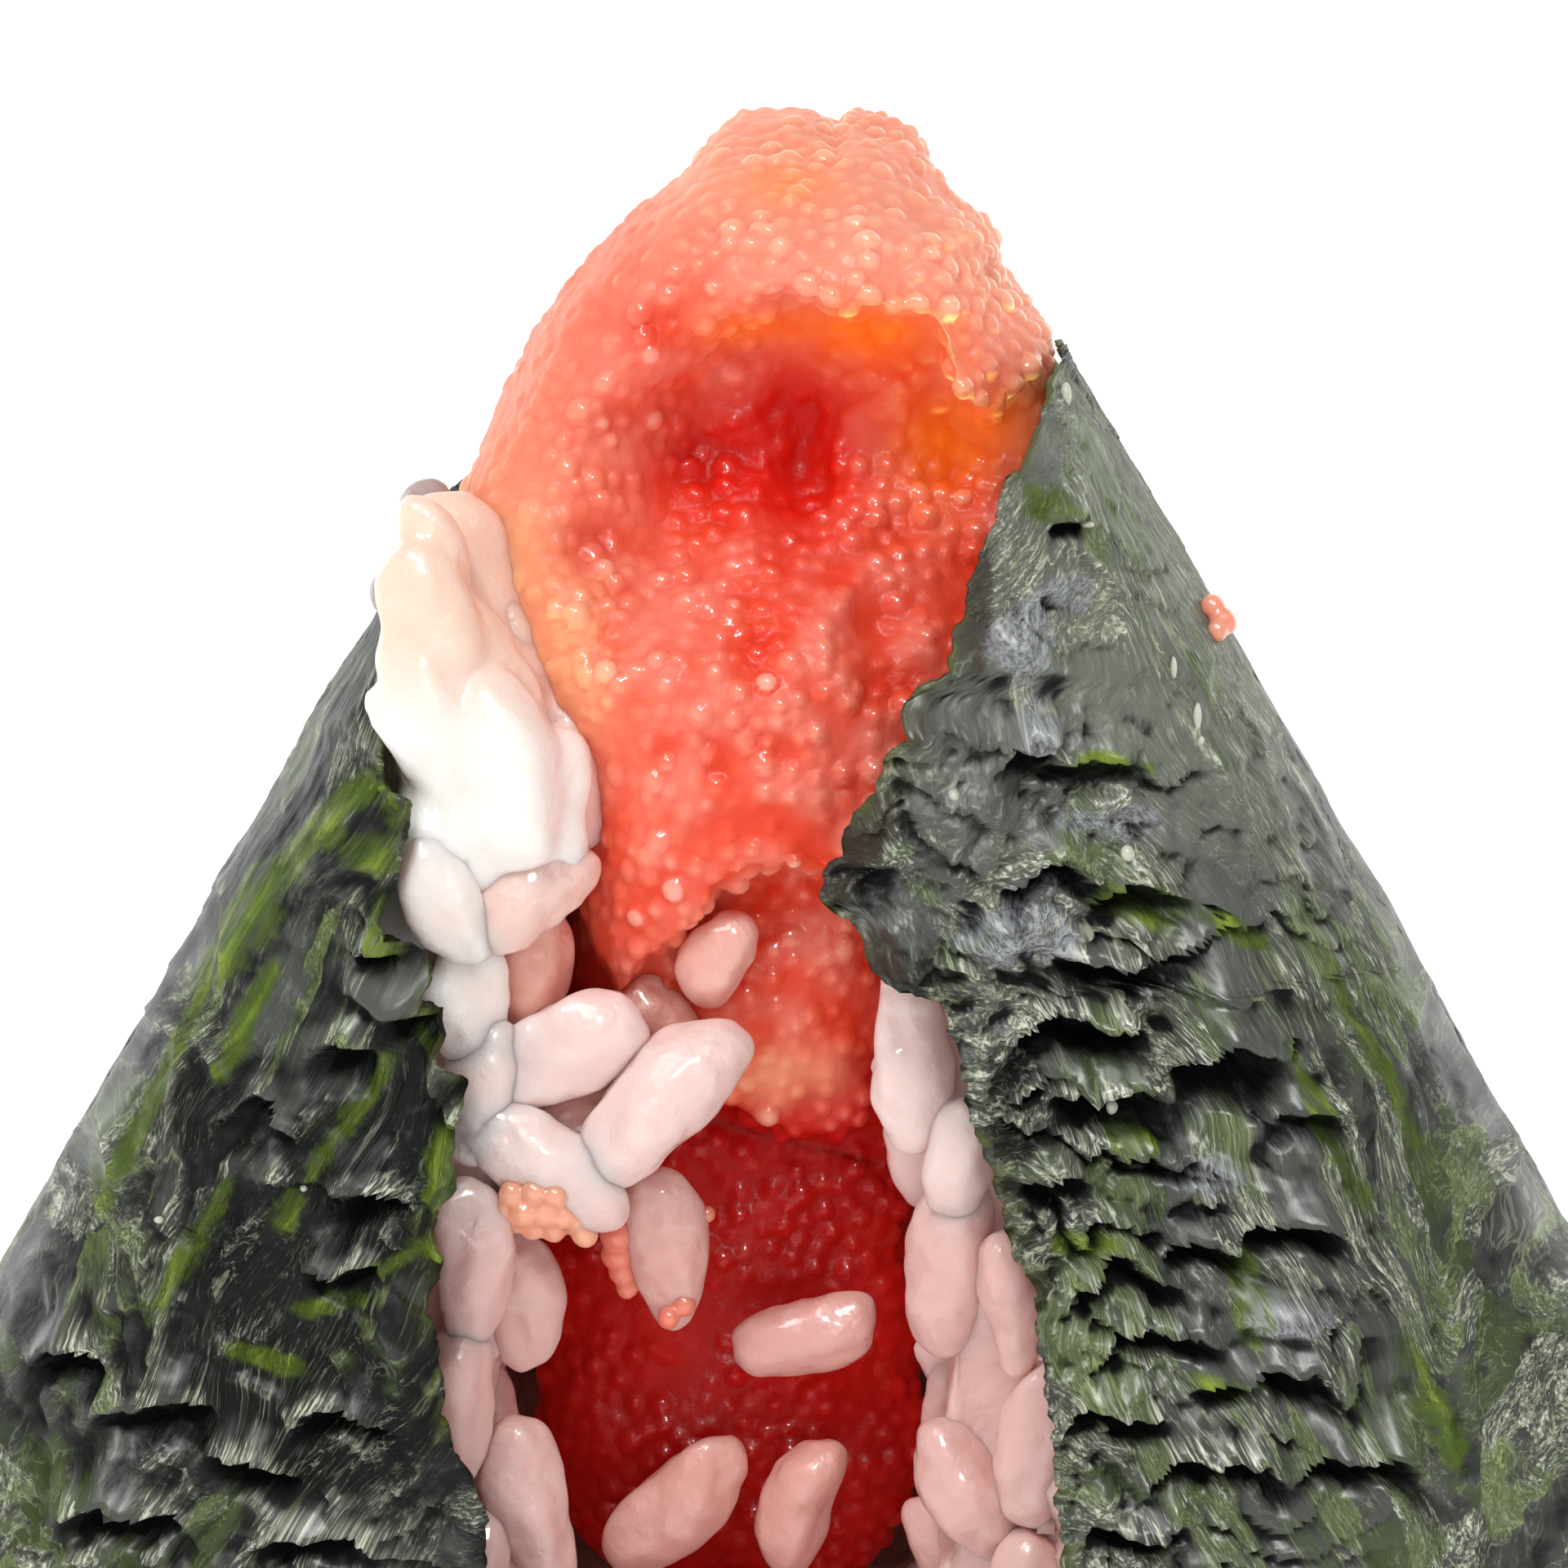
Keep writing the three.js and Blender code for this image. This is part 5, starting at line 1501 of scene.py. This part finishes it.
# %% Stray eggs and crumbs
# Eggs: across, ahead, height, radius
CLINGING_EGGS = [
    [-11, -14, 28, 0.5], [-10.1, -14.2, 28.1, 0.5], [-9.3, -14.2, 27.9, 0.5], [-11.4, -13.6, 27.2, 0.6],
    [-10.5, -13.9, 27.2, 0.6], [-9.7, -14, 27.2, 0.55], [-9, -13.9, 27.1, 0.55], [-8.5, -13.7, 26.9, 0.5],
    [-10.2, -13.4, 26.6, 0.55], [-9.4, -13.4, 26.5, 0.55], [-8.2, -13.4, 26.3, 0.55],
    [-10.8, -13.4, 26.8, 0.5],
]
PINK_EGGS = [
    [-7, -11.3, 25.9, 0.7], [-7, -11.1, 25, 0.65], [-6.8, -10.9, 24.3, 0.55], [-6.6, -11, 23.7, 0.45],
    [-5, -11.4, 22.6, 0.45], [-4.4, -11.2, 23.1, 0.5], [-3.5, -10.9, 26.6, 0.35],
]
BEAD_SWELL = 0.12
# On the sheet: run from the front middle, height, radius along, radius up, how far its centre stands out
PINK_CRUMB = [[18.7, 50.1, 0.5, 0.5, 0.35], [18.9, 49.5, 0.55, 0.55, 0.4], [18.5, 49.2, 0.4, 0.45, 0.2]]
FLECKS = [
    [12.2, 58.4, 0.22, 0.46, 0.05], [5.7, 43.6, 0.26, 0.38, 0.05], [15.7, 46.3, 0.16, 0.5, 0.05],
    [12.4, 41.4, 0.28, 0.32, 0.05], [12.4, 31.6, 0.22, 0.3, 0.05], [15.1, 48.1, 0.14, 0.46, 0.05],
    [15.9, 45.4, 0.12, 0.16, 0.05], [11.8, 53.6, 0.26, 0.12, 0.08], [-18.8, 28.6, 0.14, 0.14, 0.05],
    [-24.4, 27.2, 0.2, 0.14, 0.05], [4.9, 45.4, 0.12, 0.16, 0.05],
]
DROPS = [
    [-18.6, 53.4, 1.2, 1.5, -0.1], [-18, 52.6, 0.9, 1.2, -0.2], [-20.6, 50.4, 0.9, 1.1, -0.1],
    [-19.8, 51.4, 0.7, 1, -0.3],
]


def on_sheet(run, z, proud):
    """A point over the sheet, from its run, its height and how far it stands out."""
    girth = stretch_ends(*section(z, 0))[4]
    turn = np.array([(-run if run < 0 else 2 * girth - run) / girth])
    height = np.array([z])
    rows = pattern_rows(np.array([run]), wrap_point(turn, height, 0, 0))
    clear_of_edges = np.array([5.0])
    lift = sheet_relief(np.array([run]), height, clear_of_edges, rows)[0]
    return wrap_point(turn, height, 0, -(lift + proud))[0]


def bead_cluster(name, beads, seed):
    """One piece from beads: the centre of each, and its radius across, ahead and up."""
    bm = bmesh.new()
    for index, (centre, radii) in enumerate(beads):
        made = bmesh.ops.create_icosphere(bm, subdivisions=3, radius=1)["verts"]
        unit = np.array([vert.co for vert in made])
        swell = 1 + BEAD_SWELL * perlin(unit, 1.1, seed + 2.3 * index)
        for vert, row in zip(made, (centre + unit * radii * swell[:, None]).tolist()):
            vert.co = Vector(row) * MM
    return new_piece(name, bm)


def sheet_beads(places):
    """Centres and radii of the beads on the sheet."""
    return [
        (on_sheet(run, z, proud), np.array([along_reach, (along_reach + up_reach) / 2, up_reach]))
        for run, z, along_reach, up_reach, proud in places
    ]


def starch_paint():
    """The finish of the flecks and the drops."""
    paint = Paint(
        "rice_starch", Transmission_Weight=0.25, IOR=1.35, Roughness=0.3, Subsurface_Weight=0.4,
        Subsurface_Radius=(1.0, 0.8, 0.7), Subsurface_Scale=1.0 * MM,
    )
    colour = paint.mix(paint.fade(paint.noise(1.4, 2.0), 0.35, 0.65), rgb(206, 186, 180), rgb(178, 156, 152))
    paint.feed("Base Color", paint.mix(paint.attribute("pale"), colour, rgb(226, 224, 204)))
    paint.bump((0.04, paint.noise(0.5, 2.0)))
    return paint.material


def stray_paint():
    """The finish of the stray eggs and the crumb."""
    paint = Paint(
        "stray_eggs", Subsurface_Weight=0.8, Subsurface_Radius=(1.0, 0.6, 0.4), Subsurface_Scale=0.9 * MM,
        Specular_IOR_Level=0.3, Coat_Weight=0.8, Coat_Roughness=0.1, Roughness=0.3,
    )
    tone = paint.attribute("pale") + 0.3 * paint.noise(1.2, 2.0) - 0.15
    paint.feed("Base Color", paint.mix(tone, rgb(238, 112, 96), rgb(255, 178, 146)))
    return paint.material


def eggs_at(places):
    """Centres and radii of round beads."""
    return [(np.array(place[:3]), np.full(3, place[3])) for place in places]


STRAY_VOXEL = 0.1
eggs = bead_cluster("clinging_eggs", eggs_at(CLINGING_EGGS), 3)
pink_eggs = bead_cluster("pink_eggs", eggs_at(PINK_EGGS), 4)
crumb = bead_cluster("pink_crumb", sheet_beads(PINK_CRUMB), 5)
STRAY_FINISH = stray_paint()
for piece, pale in ((eggs, 0.85), (pink_eggs, 0.25), (crumb, 0.6)):
    even_out(piece, STRAY_VOXEL, 3)
    set_attributes(piece, pale=pale)
    piece.data.materials.append(STRAY_FINISH)
    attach(piece, "root")
STARCH_FINISH = starch_paint()
for name, places, pale in (("starch_flecks", FLECKS, 1), ("starch_drops", DROPS, 0)):
    piece = bead_cluster(name, sheet_beads(places), 7)
    set_attributes(piece, pale=pale)
    piece.data.materials.append(STARCH_FINISH)
    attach(piece, "root")
    print(name + ":", len(places), "beads,", len(piece.data.polygons), "faces")

# %% [markdown]
# ## Floor and light
# The photograph is a bright studio shot on pure white. A pale floor that curves up into a backdrop gives
# the same ground. A white world fills the shadows, a large soft light from above and the left models the
# forms, two strips behind the object draw the grey sheen along the sides of the seaweed, and a small hard
# light puts a glint on every egg.

# %% Floor
FLOOR_WIDTH = 3.0
SWEEP = [(-1.2, 0), (0.5, 0), (0.8, 0.03), (1.05, 0.12), (1.25, 0.3), (1.35, 0.6), (1.4, 1.6)]


def make_floor():
    """A floor that curves up behind the object."""
    bm = bmesh.new()
    bmesh.ops.create_grid(bm, x_segments=1, y_segments=len(SWEEP) - 1, size=0.5)
    for vert in bm.verts:
        y, z = SWEEP[round((vert.co.y + 0.5) * (len(SWEEP) - 1))]
        vert.co = Vector((vert.co.x * FLOOR_WIDTH, y, z))
    floor = new_piece("floor", bm)
    curve = floor.modifiers.new("Curve", "SUBSURF")
    curve.levels = curve.render_levels = 3
    paint = Paint("white_floor", Base_Color=rgb(246, 246, 246), Roughness=0.7)
    paint.feed("Emission Color", rgb(255, 255, 255))
    paint.feed("Emission Strength", 0.5)
    paint.bump((0.05, paint.noise(3.0, 2.0)))
    floor.data.materials.append(paint.material)
    return floor


floor = make_floor()
print("floor:", len(floor.data.polygons), "faces before it is curved")


# %% Lights
def area_light(name, place, target, size, power, glints_only=False):
    """A light that looks at a target."""
    data = bpy.data.lights.new(name, "AREA")
    data.shape = "RECTANGLE"
    data.size, data.size_y = size
    data.energy = power
    light = bpy.data.objects.new(name, data)
    light.visible_diffuse = not glints_only
    light.location = place
    light.rotation_euler = (Vector(target) - Vector(place)).to_track_quat("-Z", "Y").to_euler()
    bpy.context.scene.collection.objects.link(light)


scene = bpy.context.scene
scene.view_settings.view_transform = "Standard"
scene.view_settings.look = "None"
scene.world = bpy.data.worlds.new("studio")
scene.world.use_nodes = True
scene.world.node_tree.nodes["Background"].inputs["Color"].default_value = (1, 1, 1, 1)
scene.world.node_tree.nodes["Background"].inputs["Strength"].default_value = 0.5
TARGET = (0, -0.01, 0.045)
area_light("key", (-0.16, -0.3, 0.5), TARGET, (0.2, 0.2), 1.6)
area_light("rear_left", (-0.36, 0.3, 0.2), TARGET, (0.16, 0.5), 0.7)
area_light("rear_right", (0.36, 0.3, 0.2), TARGET, (0.16, 0.5), 0.7)
area_light("glint", (0.04, -0.36, 0.34), TARGET, (0.11, 0.11), 2.6, True)
